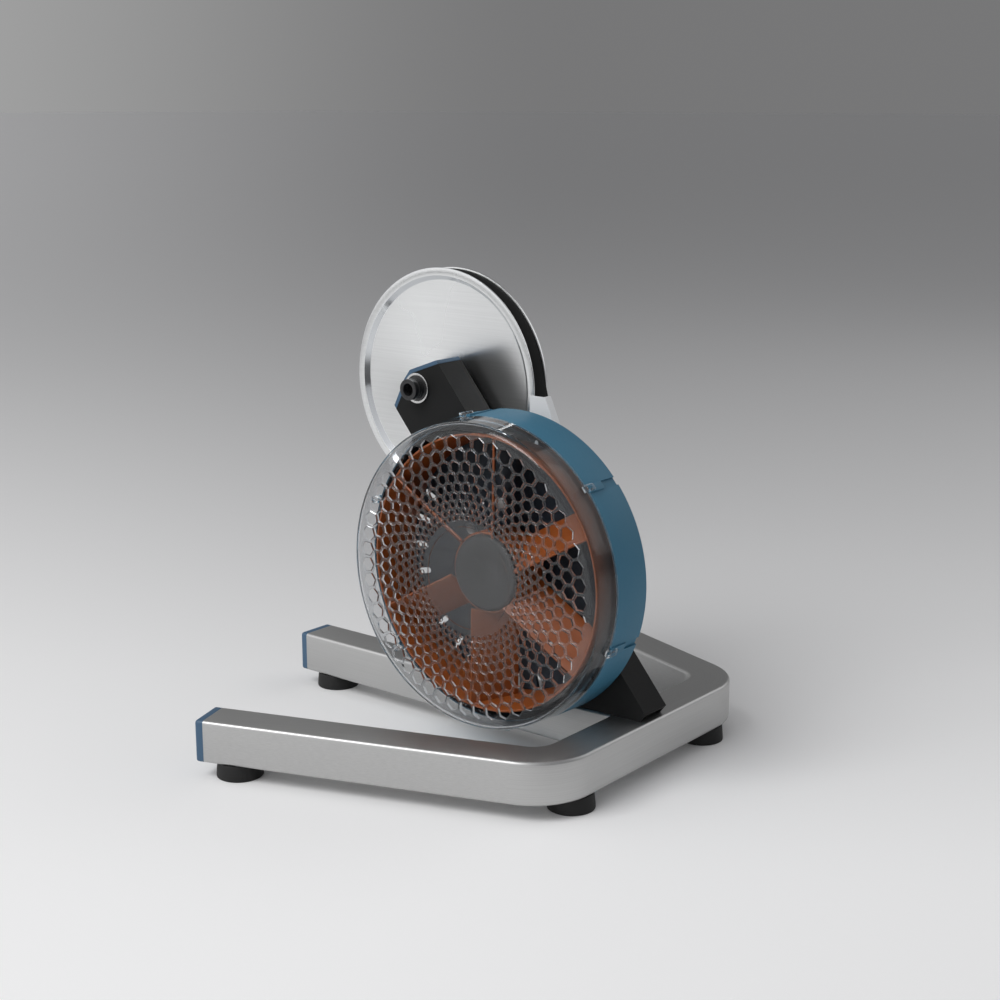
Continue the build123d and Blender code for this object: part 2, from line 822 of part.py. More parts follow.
def make_lockring():
    ring = rod(axle, lockring_flange_radius, cassette_right, cassette_right - lockring_flange_thickness)
    ring = ring + rod(axle, lockring_neck_radius, freehub_right + lockring_neck_length, cassette_right)
    ring = ring - rod(axle, lockring_neck_radius - lockring_wall,
                      freehub_right + lockring_neck_length, cassette_right - lockring_flange_thickness)
    for index in range(lockring_notches):
        turn = 2 * pi * index / lockring_notches
        centre = (axle[0] + (lockring_neck_radius - lockring_wall) * cos(turn),
                  axle[1] + (lockring_neck_radius - lockring_wall) * sin(turn))
        ring = ring - rod(centre, 1.1, cassette_right - lockring_flange_thickness + 1.4,
                          cassette_right - lockring_flange_thickness)
    return ring


# Fan shaft
shaft_right = channel_back - fan_pulley_flange_thickness - shaft_past_pulley
shaft_left = arm_left + fan_hub_front - fan_hub_wall - 1.0


def make_fan_shaft():
    shaft = rod(fan, shaft_radius, shaft_left, shaft_right)
    return shaft - rod(fan, end_screw_radius + 0.05, shaft_right + end_screw_length, shaft_right)


def make_fan_bearings():
    lefts = (arm_left - 0.6, arm_right + 0.6 + fan_bearing_width)
    return [bearing(fan, fan_bearing_radius, shaft_radius, left, fan_bearing_width) for left in lefts]


def make_fan_pulley():
    left = channel_front - 0.1
    right = channel_back + 0.1
    body = rod(fan, fan_drum_radius, left, right)
    for start in (left + fan_pulley_flange_thickness, right):
        body = body + rod(fan, fan_pulley_flange_radius, start, start - fan_pulley_flange_thickness)
    body = body + rod(fan, fan_pulley_boss_radius, arm_right - 0.4, left)
    body = body + rod(fan, fan_pulley_boss_radius, right, shaft_right)
    return body - rod(fan, shaft_radius + fit_clearance / 2, arm_right - 0.4, shaft_right)


def make_end_screw():
    washer_right = shaft_right - end_washer_thickness
    washer = rod(fan, end_washer_radius, shaft_right, washer_right)
    head = rod(fan, 4.2, washer_right, washer_right - 4.0)
    shank = rod(fan, end_screw_radius, shaft_right + end_screw_length - 1.0, shaft_right)
    socket = extrude(side_plane(fan, washer_right - 2.0) * RegularPolygon(2.2, 6), 2.0)
    return washer + head + shank - socket


# Fan shroud and cover
shroud_back = arm_left + mount_pad_height
shroud_left = shroud_back + shroud_depth
cover_left = shroud_left + cover_depth


def around_fan(shape, angle):
    """Turn a piece drawn on the fan's backward side to a seen angle."""
    return shape.rotate(Axis((fan[0], 0, fan[1]), (0, 1, 0)), angle)


def boss_angles():
    return [first_boss_angle + 360.0 * index / boss_count for index in range(boss_count)]


def backward_block(inner_radius, outer_radius, width, y_left, y_right):
    """A block on the fan's backward side, with its length along Y."""
    middle = fan[0] - (inner_radius + outer_radius) / 2
    size = outer_radius - inner_radius
    return Pos(middle, (y_left + y_right) / 2, fan[1]) * Box(size, y_left - y_right, width)


def shroud_screw_points():
    return [from_axle(-fan_from_axle + sign_along * shroud_screw_along, sign_across * shroud_screw_across)
            for sign_along in (1, -1) for sign_across in (1, -1)]


def make_fan_shroud():
    back = shroud_back
    floor = back + shroud_back_thickness
    shroud = turned(fan, [(housing_radius + 1.0, back), (shroud_radius - 1.5, back),
                          (shroud_radius, back + 1.5), (shroud_front_radius, shroud_left),
                          (shroud_front_radius - shroud_wall, shroud_left),
                          (shroud_radius - shroud_wall, floor), (housing_radius + 1.0, floor)])
    for angle in boss_angles():
        boss = backward_block(shroud_front_radius - 1.5, shroud_front_radius + boss_height, boss_width,
                              shroud_left, shroud_left - boss_length)
        groove = backward_block(shroud_radius - boss_groove_depth, shroud_radius + 3.0, boss_width,
                                shroud_left - boss_length, back)
        shroud = shroud + around_fan(boss, angle)
        shroud = shroud - around_fan(groove, angle)
    slot_length = vent_outer_radius - vent_inner_radius
    slot_middle = (vent_outer_radius + vent_inner_radius) / 2
    for side in (90, 270):
        for index in range(vent_count):
            angle = arm_angle + side + (index - (vent_count - 1) / 2) * vent_step
            outline = Rot(0, 0, angle) * Pos(slot_middle, 0) * SlotOverall(slot_length, vent_width)
            shroud = shroud - extrude(side_plane(fan, floor) * outline, shroud_back_thickness)
    shroud = shroud + pipe(fan, mount_pad_radius, housing_radius + 1.0, back, arm_left)
    for point in shroud_screw_points():
        shroud = shroud - rod(point, shroud_screw_radius + screw_clearance, floor, arm_left)
    return shroud


def make_shroud_screws():
    screws = []
    face = shroud_back + shroud_back_thickness
    for point in shroud_screw_points():
        head = rod(point, shroud_screw_head_radius, face + shroud_screw_head_height, face)
        shank = rod(point, shroud_screw_radius, face, face - shroud_screw_length)
        screws.append(head + shank)
    return screws


def hexagon_hole(radius, angle, flat_width):
    """Wire of one honeycomb hole, its corners towards and away from the middle."""
    corner_radius = flat_width / sqrt(3)
    direction = seen_angle(angle)
    centre = (radius * direction[0], radius * direction[1])
    turn = atan2(direction[1], direction[0])
    points = [(centre[0] + corner_radius * cos(turn + pi / 3 * index),
               centre[1] + corner_radius * sin(turn + pi / 3 * index)) for index in range(6)]
    return Wire.make_polygon([Vector(*point, 0) for point in points], close=True)


def honeycomb_holes():
    step = 360.0 / honeycomb_count
    holes = []
    for ring in range(honeycomb_rings):
        radius = honeycomb_radius * honeycomb_shrink ** ring
        width = 2 * pi * radius / honeycomb_count - honeycomb_web
        for index in range(honeycomb_count):
            holes.append(hexagon_hole(radius, step * (index + 0.5 * (ring % 2)), width))
    return holes


def make_fan_cover():
    face_back = cover_left - cover_face_thickness
    plate_radius = cover_front_radius - cover_shoulder_radius
    plate_wire = Wire.make_circle(plate_radius)
    grille = Face(plate_wire, honeycomb_holes())
    plate = extrude(side_plane(fan, cover_left) * grille, cover_face_thickness)
    outer_start = cover_left - cover_shoulder_radius
    lip_radius = shroud_front_radius - shroud_wall - cover_lip_gap
    bend = sin(radians(45)) * cover_shoulder_radius
    inner_shoulder = cover_shoulder_radius - cover_wall
    inner_bend = sin(radians(45)) * inner_shoulder
    inner_front = cover_front_radius - cover_wall
    plane = Plane(origin=(fan[0], 0, fan[1]), x_dir=(1, 0, 0), z_dir=(0, 0, 1))
    lines = [Line((plate_radius, cover_left), (plate_radius, face_back)),
             ThreePointArc((plate_radius, face_back),
                           (plate_radius + inner_bend, outer_start + inner_bend),
                           (inner_front, outer_start)),
             Line((inner_front, outer_start), (lip_radius - cover_wall, shroud_left)),
             Line((lip_radius - cover_wall, shroud_left), (lip_radius - cover_wall, shroud_left - cover_lip_length)),
             Line((lip_radius - cover_wall, shroud_left - cover_lip_length),
                  (lip_radius, shroud_left - cover_lip_length)),
             Line((lip_radius, shroud_left - cover_lip_length), (lip_radius, shroud_left)),
             Line((lip_radius, shroud_left), (shroud_front_radius, shroud_left)),
             Line((shroud_front_radius, shroud_left), (cover_front_radius, outer_start)),
             ThreePointArc((cover_front_radius, outer_start), (plate_radius + bend, outer_start + bend),
                           (plate_radius, cover_left))]
    rim = revolve(plane * make_face(Curve() + lines), Axis((fan[0], 0, fan[1]), (0, 1, 0)))
    ring = pipe(fan, centre_ring_radius + centre_ring_width / 2, centre_ring_radius - centre_ring_width / 2,
                cover_left + centre_ring_height, cover_left)
    return plate + rim + ring


def make_cover_clips():
    clips = []
    bottom = shroud_front_radius + boss_height
    for angle in boss_angles():
        clip = backward_block(bottom, bottom + clip_height, clip_width,
                              shroud_left + clip_length / 2, shroud_left - clip_length / 2)
        window = backward_block(bottom - 1.0, bottom + clip_height + 1.0, clip_window,
                                shroud_left + clip_length / 4, shroud_left - clip_length / 4)
        hook = backward_block(shroud_front_radius - clip_hook_depth, bottom + 0.5, clip_width,
                              shroud_left + clip_length / 2, shroud_left + clip_length / 4)
        clips.append(around_fan(clip - window + hook, angle))
    return clips


# Impeller
def make_fan_hub():
    front = arm_left + fan_hub_front
    back = front - fan_hub_length
    hub = rod(fan, fan_hub_radius, front, back)
    hub = fillet(hub.edges().group_by(Axis.Y)[-1], fan_hub_edge)
    hub = hub - rod(fan, fan_hub_radius - fan_hub_wall, front - fan_hub_wall, back)
    hub = hub + rod(fan, fan_hub_boss_radius, front - fan_hub_wall / 2, back)
    return hub - rod(fan, shaft_radius + fit_clearance / 2, shaft_left, back)


def band_radius_at(height):
    """Inner radius of the band at a distance from the arm's left face."""
    share = (height - band_back) / (band_front - band_back)
    return band_back_radius + share * (band_front_radius - band_back_radius) - band_wall


def blade_solid(angle):
    """A flat blade, pitched from its front edge to its back edge, along one radius."""
    run = blade_front_offset - blade_back_offset
    rise = blade_front - blade_back
    length = hypot(run, rise)
    half = (blade_thickness / 2 * rise / length, blade_thickness / 2 * run / length)
    front = (blade_front_offset, arm_left + blade_front)
    back = (blade_back_offset, arm_left + blade_back)
    corners = [(front[0] + half[0], front[1] - half[1]), (front[0] - half[0], front[1] + half[1]),
               (back[0] - half[0], back[1] + half[1]), (back[0] + half[0], back[1] - half[1])]
    plane = Plane(origin=(fan[0], 0, fan[1]), x_dir=(0, 0, -1), z_dir=(1, 0, 0))
    outline = plane * make_face(Polyline(*corners, close=True))
    blade = extrude(outline, -(band_front_radius + 10.0))
    return around_fan(blade, angle)


def make_impeller():
    back = arm_left + band_back
    front = arm_left + band_front
    band = turned(fan, [(band_back_radius, back), (band_front_radius, front),
                        (band_front_radius - band_wall, front), (band_back_radius - band_wall, back)])
    room = turned(fan, [(0, back), (band_back_radius - band_wall / 2, back),
                        (band_front_radius - band_wall / 2, front), (0, front)])
    inner = fan_hub_radius + fit_clearance
    hub_front = arm_left + fan_hub_front
    collar = pipe(fan, inner + collar_thickness, inner, hub_front - fan_hub_edge,
                  hub_front - fan_hub_length)
    impeller = band + collar
    core = rod(fan, inner, front + 1.0, back - 1.0)
    for index in range(blade_count):
        blade = blade_solid(first_blade_angle + 360.0 * index / blade_count)
        impeller = impeller + ((blade & room) - core)
    return impeller


def main():
    os.makedirs("parts", exist_ok=True)
    end = leg_end_point()
    direction = leg_direction()
    write("base_tube", make_base_tube())
    write("centre_leg", make_centre_leg())
    write("left_leg_cap", make_leg_cap(end, direction))
    write("right_leg_cap", make_leg_cap((end[0], -end[1]), (direction[0], -direction[1])))
    write("centre_leg_cap", make_leg_cap((centre_leg_reach, 0), (1, 0)))
    write("rubber_feet", Compound(children=make_feet()))
    write("foot_screws", Compound(children=make_foot_screws()))
    write("arm", make_arm())
    write("arm_top_cap", make_arm_top_cap())
    write("axle_sleeve", make_axle_sleeve())
    write("fan_bearing_housing", make_bearing_housing())
    write("hub_axle", make_hub_axle())
    write("axle_washer", make_axle_washer())
    write("left_axle_adapter", make_left_adapter())
    write("right_axle_adapter", make_right_adapter())
    write("axle_spacer", make_axle_spacer())
    write("hub_bearings", Compound(children=make_hub_bearings()))
    write("freehub_bearings", Compound(children=make_freehub_bearings()))
    write("pulley_front_plate", make_pulley_front_plate())
    write("pulley_drum", make_pulley_drum())
    write("pulley_rear_plate", make_pulley_rear_plate())
    write("pulley_screws", Compound(children=make_pulley_screws()))
    write("drive_belt", make_drive_belt())
    write("belt_guard", make_belt_guard())
    write("guard_screws", Compound(children=make_guard_screws()))
    write("ratchet_ring", make_ratchet_ring())
    write("ratchet_pawls", Compound(children=make_pawls()))
    write("freehub_body", make_freehub_body())
    for index, teeth in enumerate(sprocket_teeth):
        write(f"sprocket_{teeth}t", make_sprocket(teeth, sprocket_left(index)))
    write("cassette_spacers", Compound(children=make_cassette_spacers()))
    write("cassette_lockring", make_lockring())
    write("fan_shaft", make_fan_shaft())
    write("fan_bearings", Compound(children=make_fan_bearings()))
    write("fan_pulley", make_fan_pulley())
    write("fan_pulley_screw", make_end_screw())
    write("fan_shroud", make_fan_shroud())
    write("shroud_screws", Compound(children=make_shroud_screws()))
    write("fan_cover", make_fan_cover())
    write("cover_clips", Compound(children=make_cover_clips()))
    write("fan_hub", make_fan_hub())
    write("impeller", make_impeller())


main()
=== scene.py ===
# %% [markdown]
# # A direct drive bike trainer
# The real object is an indoor bike trainer: the rear wheel comes off the bicycle, and the
# frame is clamped on this machine instead.  A belt pulley on the axle drives a fan, and the
# fan's air drag is the brake.  The CAD model gives every size and place, and this script
# builds the looks round it, in metres and in the same frame: X forward, Y to the bike's
# left, which is the fan side, and Z up.

# %% Load the frame
import json
from math import asin, atan2, cos, hypot, pi, radians, sin, tan
import bmesh
import bpy
from mathutils import Matrix, Vector


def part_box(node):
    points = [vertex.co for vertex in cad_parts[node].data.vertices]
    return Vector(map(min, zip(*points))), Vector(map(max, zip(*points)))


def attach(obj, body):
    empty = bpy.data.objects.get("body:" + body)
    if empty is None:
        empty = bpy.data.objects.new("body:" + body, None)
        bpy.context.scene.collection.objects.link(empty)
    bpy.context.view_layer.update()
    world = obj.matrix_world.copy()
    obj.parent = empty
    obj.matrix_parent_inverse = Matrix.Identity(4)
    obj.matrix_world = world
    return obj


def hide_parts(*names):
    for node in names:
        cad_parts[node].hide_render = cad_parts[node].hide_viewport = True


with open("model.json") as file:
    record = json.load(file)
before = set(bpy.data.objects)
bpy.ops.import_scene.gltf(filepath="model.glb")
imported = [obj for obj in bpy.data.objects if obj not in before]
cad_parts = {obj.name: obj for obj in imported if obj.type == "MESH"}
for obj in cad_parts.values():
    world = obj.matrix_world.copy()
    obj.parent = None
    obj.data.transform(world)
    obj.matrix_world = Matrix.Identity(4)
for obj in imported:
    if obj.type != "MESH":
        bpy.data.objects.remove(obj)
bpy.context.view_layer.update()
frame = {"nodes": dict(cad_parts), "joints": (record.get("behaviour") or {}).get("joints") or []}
print("the CAD model has", len(frame["nodes"]), "nodes")

# %% [markdown]
# ## Places taken from the frame
# The joints say where the two turning axes are, and the nodes' boxes say how deep each
# piece is.  Taking them from there keeps every new piece on its CAD place.

# %% Axes and depths
mm = 0.001
joint_place = {joint["name"]: Vector(joint["pos_m"]) for joint in frame["joints"]}
axle = joint_place["pulley_spin"]
fan = joint_place["fan_spin"]
along_x = Vector((1, 0, 0))
along_y = Vector((0, 1, 0))
along_z = Vector((0, 0, 1))
print("axle", tuple(round(value, 4) for value in axle), "fan", tuple(round(value, 4) for value in fan))


def low(node):
    """Lowest corner of a CAD node."""
    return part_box(node)[0]


def high(node):
    """Highest corner of a CAD node."""
    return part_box(node)[1]


def depths(node):
    """Where a CAD node starts and ends along Y."""
    return low(node).y, high(node).y


def radius_of(node):
    """Radius of a CAD node that is turned about a Y line."""
    return (high(node).x - low(node).x) / 2


# %% [markdown]
# ## Helpers for shapes
# Four small jobs come back all the time: turning a shape's normals outward, bevelling
# it, moving it and putting it into the scene.  Each has a helper, so that the steps
# below stay short.

# %% Turn outward, round and move
def outward(shape):
    """Make every face look out of the shape."""
    bmesh.ops.recalc_face_normals(shape, faces=list(shape.faces))
    return shape


def rounded(shape, parts, width, steps, affect="EDGES"):
    """Bevel some edges, or some corners of an outline."""
    bmesh.ops.bevel(shape, geom=parts, offset=width, offset_type="OFFSET", segments=steps,
                    profile=0.5, affect=affect, clamp_overlap=True, material=-1)


def moved(shape, way):
    """Move a whole shape."""
    bmesh.ops.translate(shape, verts=list(shape.verts), vec=way)
    return shape


def in_scene(name, data):
    """Make an object of a mesh, a lamp or a camera, and put it into the scene."""
    made = bpy.data.objects.new(name, data)
    bpy.context.scene.collection.objects.link(made)
    return made


def placed(name, shape):
    """Turn a shape into a mesh object in the scene."""
    mesh = bpy.data.meshes.new(name)
    shape.to_mesh(mesh)
    shape.free()
    return in_scene(name, mesh)


# %% [markdown]
# Most of this machine is turned, so one helper spins an outline about a line along Y.
# Its corners are rounded before the spin, which gives every rim a small edge that
# catches the light, as machined and moulded edges do.

# %% Spin an outline
def turned(centre, points, corner=0.0, steps=96, corner_steps=2):
    """Spin an outline of (radius, y) points about the Y line through a centre."""
    shape = bmesh.new()
    corners = [shape.verts.new((centre.x + radius, y, centre.z)) for radius, y in points]
    face = shape.faces.new(corners)
    if corner:
        on_rim = [vert for vert in corners if vert.co.x - centre.x > 1e-6]
        rounded(shape, on_rim, corner, corner_steps, "VERTICES")
    bmesh.ops.delete(shape, geom=list(shape.faces), context="FACES_ONLY")
    on_axis = [edge for edge in shape.edges if all(abs(vert.co.x - centre.x) < 1e-7 for vert in edge.verts)]
    bmesh.ops.delete(shape, geom=on_axis, context="EDGES")
    bmesh.ops.spin(shape, geom=list(shape.verts) + list(shape.edges), cent=centre, axis=along_y,
                   angle=2 * pi, steps=steps, use_merge=True)
    bmesh.ops.remove_doubles(shape, verts=list(shape.verts), dist=2e-6)
    return outward(shape)


def arc_points(centre_radius, centre_y, radius, start, end, count):
    """Points on an arc of the outline, in degrees from the outward direction towards +Y."""
    turns = [radians(start + (end - start) * index / count) for index in range(count + 1)]
    return [(centre_radius + radius * cos(turn), centre_y + radius * sin(turn)) for turn in turns]


def ring_outline(inner, outer, back, front):
    """The outline of a plain ring."""
    return [(inner, back), (outer, back), (outer, front), (inner, front)]


# %% Join, turn and cut
def joined(shapes):
    """All shapes in one, without welding them."""
    whole = bmesh.new()
    for shape in shapes:
        part = bpy.data.meshes.new("part")
        shape.to_mesh(part)
        shape.free()
        whole.from_mesh(part)
        bpy.data.meshes.remove(part)
    return whole


def around(shape, centre, angle, axis="Y"):
    """Turn a shape about the Y line through a centre, or about another axis, in degrees."""
    bmesh.ops.rotate(shape, verts=list(shape.verts), cent=centre,
                     matrix=Matrix.Rotation(radians(angle), 3, axis))
    return shape


def combined(body, tool, operation):
    """Cut one shape out of another, or weld them, with the Boolean modifier."""
    body_object = placed("body", body)
    tool_object = placed("tool", tool)
    modifier = body_object.modifiers.new("cut", "BOOLEAN")
    modifier.operation = operation
    modifier.solver = "MANIFOLD"
    modifier.object = tool_object
    seen = body_object.evaluated_get(bpy.context.evaluated_depsgraph_get())
    mesh = bpy.data.meshes.new_from_object(seen)
    result = bmesh.new()
    result.from_mesh(mesh)
    for spent in (body_object, tool_object):
        bpy.data.objects.remove(spent)
    bpy.data.meshes.remove(mesh)
    return result


# %% [markdown]
# Flat-sided pieces such as the arm are copied from their CAD nodes.  The copy's loose
# triangles are merged, the flat ones are joined, and the sharp edges get a narrow bevel.

# %% Copy and soften a CAD node
def soften(shape, width, steps=2, sharper_than=30):
    """Bevel every edge that turns by more than an angle."""
    sharp = [edge for edge in shape.edges
             if edge.is_manifold and edge.calc_face_angle() > radians(sharper_than)]
    rounded(shape, sharp, width, steps)
    return shape


def copied(node, width):
    """A merged and softened copy of a CAD node."""
    shape = bmesh.new()
    shape.from_mesh(frame["nodes"][node].data)
    bmesh.ops.remove_doubles(shape, verts=list(shape.verts), dist=1e-5)
    bmesh.ops.dissolve_limit(shape, angle_limit=radians(0.5), use_dissolve_boundaries=False,
                             verts=list(shape.verts), edges=list(shape.edges), delimit=set())
    return soften(shape, width)


def block(low_corner, high_corner, width=0.0):
    """A box between two corners, with bevelled edges where a width is given."""
    shape = bmesh.new()
    size = Vector(high_corner) - Vector(low_corner)
    middle = (Vector(high_corner) + Vector(low_corner)) / 2
    bmesh.ops.create_cube(shape, size=1.0, matrix=Matrix.Translation(middle) @ Matrix.Diagonal((*size, 1)))
    return soften(shape, width) if width else shape


# %% Turn a shape into a piece of the model
def piece(node, shape, body, slot, *materials, smooth_below=32):
    """Make the object that takes a CAD node's place, shade it, hang it on its body and hide the node."""
    made = placed(f"{node}_looks", shape)
    mesh = made.data
    mesh.shade_smooth()
    mesh.set_sharp_from_angle(angle=radians(smooth_below))
    for material in materials:
        mesh.materials.append(material)
    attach(made, body)
    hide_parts(node)
    print(f"{made.name}: {len(mesh.polygons)} faces")
    return made


def repaint(material, *nodes):
    """Give CAD nodes that stay a better material."""
    for node in nodes:
        mesh = frame["nodes"][node].data
        mesh.materials.clear()
        mesh.materials.append(material)


# %% [markdown]
# ## Helpers for materials
# Every finish here is made of noise at the real scale of the surface: brush lines a
# fraction of a millimetre apart, powder coat grain, moulding texture.  These helpers
# keep each material short.

# %% Nodes for materials
def new_finish(name):
    """A new material with its node tree, shader and Object coordinates."""
    material = bpy.data.materials.new(name)
    material.use_nodes = True
    tree = material.node_tree
    shader = tree.nodes["Principled BSDF"]
    place = tree.nodes.new("ShaderNodeTexCoord").outputs["Object"]
    return material, tree, shader, place


def noise(tree, place, scale, detail, stretch=(1, 1, 1)):
    """Noise of a size, drawn out along an axis where stretch is small."""
    mapping = tree.nodes.new("ShaderNodeMapping")
    mapping.inputs["Scale"].default_value = stretch
    tree.links.new(place, mapping.inputs["Vector"])
    texture = tree.nodes.new("ShaderNodeTexNoise")
    texture.inputs["Scale"].default_value = scale
    texture.inputs["Detail"].default_value = detail
    tree.links.new(mapping.outputs["Vector"], texture.inputs["Vector"])
    return texture.outputs["Fac"]


def between(tree, factor, lowest, highest, start=0.3, end=0.7, way="LINEAR"):
    """A number that goes from one value to another while a factor goes from start to end."""
    node = tree.nodes.new("ShaderNodeMapRange")
    node.interpolation_type = way
    limits = {"From Min": start, "From Max": end, "To Min": lowest, "To Max": highest}
    for name, value in limits.items():
        node.inputs[name].default_value = value
    tree.links.new(factor, node.inputs["Value"])
    return node.outputs["Result"]


def blend_colour(tree, factor, first, second):
    """Blend by a factor.  A colour is three numbers, one for a grey, or another node's."""
    node = tree.nodes.new("ShaderNodeMix")
    node.data_type = "RGBA"
    for socket, colour in ((node.inputs[6], first), (node.inputs[7], second)):
        if isinstance(colour, bpy.types.NodeSocket):
            tree.links.new(colour, socket)
        else:
            red_green_blue = colour if isinstance(colour, tuple) else (colour, colour, colour)
            socket.default_value = (*red_green_blue, 1)
    tree.links.new(factor, node.inputs["Factor"])
    return node.outputs[2]


def wire(tree, shader, colour, roughness):
    """Lead a colour and a roughness into the shader."""
    tree.links.new(colour, shader.inputs["Base Color"])
    tree.links.new(roughness, shader.inputs["Roughness"])


def bump(tree, shader, height, strength, distance):
    """Relief from a factor, with its real depth in metres."""
    node = tree.nodes.new("ShaderNodeBump")
    node.inputs["Strength"].default_value = strength
    node.inputs["Distance"].default_value = distance
    tree.links.new(height, node.inputs["Height"])
    tree.links.new(node.outputs["Normal"], shader.inputs["Normal"])


def settle(shader, **values):
    """Set sockets that are the same all over the surface."""
    for name, value in values.items():
        shader.inputs[name.replace("_", " ").title().replace("Ior", "IOR")].default_value = value


# %% [markdown]
# ## Metals
# The tubes and the pulley's plates are brushed, so their noise is drawn out along the
# brush lines.  The bent tube carries its own coordinate along its length, because brush
# lines follow a tube round its bends, and the plates are brushed straight across.

# %% Brushed metal
brush_depth = 0.02 * mm


def brushed(name, dark, light, shine, stretch, lines, relief=0.25, slow_scale=9.0, carried=""):
    """Metal with fine parallel lines and some slow variation in how it shines."""
    material, tree, shader, place = new_finish(name)
    line_place = place
    if carried:
        node = tree.nodes.new("ShaderNodeAttribute")
        node.attribute_name = carried
        line_place = node.outputs["Vector"]
    fine = noise(tree, line_place, lines, 3.0, stretch)
    slow = noise(tree, place, slow_scale, 2.0)
    wire(tree, shader, blend_colour(tree, fine, dark, light), between(tree, slow, *shine))
    settle(shader, metallic=1.0)
    bump(tree, shader, fine, relief, brush_depth)
    return material


bent_tube_metal = brushed("brushed tube", (0.455, 0.455, 0.45), (0.575, 0.575, 0.57), (0.38, 0.47),
                          (0.008, 1, 1), 1400, 0.18, 7.0, carried="along_tube")
plate_metal = brushed("brushed plate", (0.74, 0.75, 0.75), (0.86, 0.87, 0.87), (0.24, 0.32),
                      (0.012, 1, 1), 900, 0.3)
# The step's smoother turned finish is real; its colour, darker than the plates', is a painted dark
# reflection.
step_metal_painted_dark = brushed("turned step with painted dark reflection", (0.60, 0.62, 0.64), (0.68, 0.70, 0.72), (0.07, 0.15),
                     (1, 20, 1), 60, 0.05)
turned_metal = brushed("turned steel", 0.50, 0.72, (0.23, 0.31),
                       (1, 30, 1), 60)
sprocket_metal = brushed("nickel plate", (0.42, 0.42, 0.43), (0.62, 0.62, 0.63), (0.21, 0.29),
                         (1, 0.2, 1), 400, 0.15)
hardened_metal = brushed("hardened steel", (0.26, 0.26, 0.27), (0.42, 0.42, 0.43), (0.32, 0.40),
                         (0.01, 1, 1), 300)
bearing_metal = brushed("ground bearing steel", (0.50, 0.50, 0.51), (0.68, 0.68, 0.69), (0.13, 0.21),
                        (1, 20, 1), 80, 0.1)
zinc_metal = brushed("zinc plated screw", 0.40, (0.58, 0.58, 0.57), (0.27, 0.35),
                     (1, 1, 1), 500, 0.2)
print("metals:", len(bpy.data.materials), "materials so far")

# %% [markdown]
# ## Paints and plastics
# Powder coat has a fine orange peel.  Moulded plastic has a finer, sharper grain.  Both
# vary a little in colour and shine from place to place, which keeps large areas alive.

# %% Coated and moulded surfaces
grain_depth = 0.05 * mm


def coated(name, dark, light, roughness, grain=900, relief=0.2, **sockets):
    """Paint, plastic or rubber: slow colour variation with a fine raised grain."""
    material, tree, shader, place = new_finish(name)
    slow = noise(tree, place, 14.0, 3.0)
    fine = noise(tree, place, grain, 3.0)
    wire(tree, shader, blend_colour(tree, slow, dark, light),
         between(tree, fine, roughness - 0.05, roughness + 0.06))
    settle(shader, **sockets)
    bump(tree, shader, fine, relief, grain_depth)
    return material


arm_paint = coated("black powder coat", 0.011, 0.016, 0.52,
                   specular_ior_level=0.12)
shell_paint = coated("blue shell paint", (0.040, 0.150, 0.235), (0.048, 0.170, 0.262), 0.50,
                     grain=700, relief=0.1, specular_ior_level=0.3)
# Near black on the shell's inside faces: painted shade inside the closed housing.
shell_painted_shade = coated("painted shade inside the shell", (0.008, 0.012, 0.018), (0.012, 0.018, 0.027), 0.55,
                      relief=0.04, specular_ior_level=0.3)
cap_plastic = coated("blue cap plastic", (0.038, 0.090, 0.155), (0.046, 0.106, 0.185), 0.45,
                     grain=1600, relief=0.25)
guard_paint = coated("pale guard paint", (0.70, 0.71, 0.72), (0.77, 0.78, 0.79), 0.34, relief=0.1)
hub_plastic = coated("grey hub plastic", 0.016, 0.022, 0.45, grain=1500)
foot_rubber = coated("foot rubber", 0.010, 0.016, 0.6,
                     grain=1100, relief=0.35, specular_ior_level=0.3)
adapter_black = coated("black anodising", (0.014, 0.014, 0.015), (0.022, 0.022, 0.023), 0.3,
                       grain=1800, relief=0.08)
impeller_plastic = coated("orange impeller plastic", (0.205, 0.048, 0.0065), (0.245, 0.060, 0.009), 0.42,
                          grain=1200, relief=0.12, subsurface_weight=0.04, subsurface_scale=2 * mm)
print("paints and plastics:", len(bpy.data.materials), "materials so far")

# %% [markdown]
# The belt is woven fabric over rubber, with lines along its length.  The cover is thin
# clear plastic with a light smoke haze: it hardly bends what is behind it, and its polished
# skin is a separate coat that mirrors the room.  For shadow rays it is simply see-through,
# because a shadow test on plain glass would block the lamps' light to the impeller.

# %% Belt and clear plastic
belt_rubber, belt_tree, belt_shader, belt_place = new_finish("belt rubber")
belt_weave = noise(belt_tree, belt_place, 700, 2.0, (0.3, 3.0, 0.3))
belt_colour = blend_colour(belt_tree, belt_weave, 0.008, 0.013)
wire(belt_tree, belt_shader, belt_colour, between(belt_tree, belt_weave, 0.62, 0.78))
settle(belt_shader, specular_ior_level=0.12)
bump(belt_tree, belt_shader, belt_weave, 0.4, 0.06 * mm)

clear_plastic, clear_tree, clear_shader, clear_place = new_finish("clear cover plastic")
clear_slow = noise(clear_tree, clear_place, 20.0, 2.0)
clear_colour = blend_colour(clear_tree, clear_slow, (0.78, 0.79, 0.80), (0.83, 0.84, 0.85))
wire(clear_tree, clear_shader, clear_colour, between(clear_tree, clear_slow, 0.03, 0.06))
settle(clear_shader, transmission_weight=0.985, ior=1.15, coat_weight=1.0, coat_ior=1.25, coat_roughness=0.03)
clear_paths = clear_tree.nodes.new("ShaderNodeLightPath")
clear_through = clear_tree.nodes.new("ShaderNodeBsdfTransparent")
clear_through.inputs["Color"].default_value = (0.72, 0.73, 0.74, 1)
clear_mix = clear_tree.nodes.new("ShaderNodeMixShader")
clear_output = clear_tree.nodes["Material Output"]
clear_tree.links.new(clear_paths.outputs["Is Shadow Ray"], clear_mix.inputs[0])
clear_tree.links.new(clear_shader.outputs["BSDF"], clear_mix.inputs[1])
clear_tree.links.new(clear_through.outputs["BSDF"], clear_mix.inputs[2])
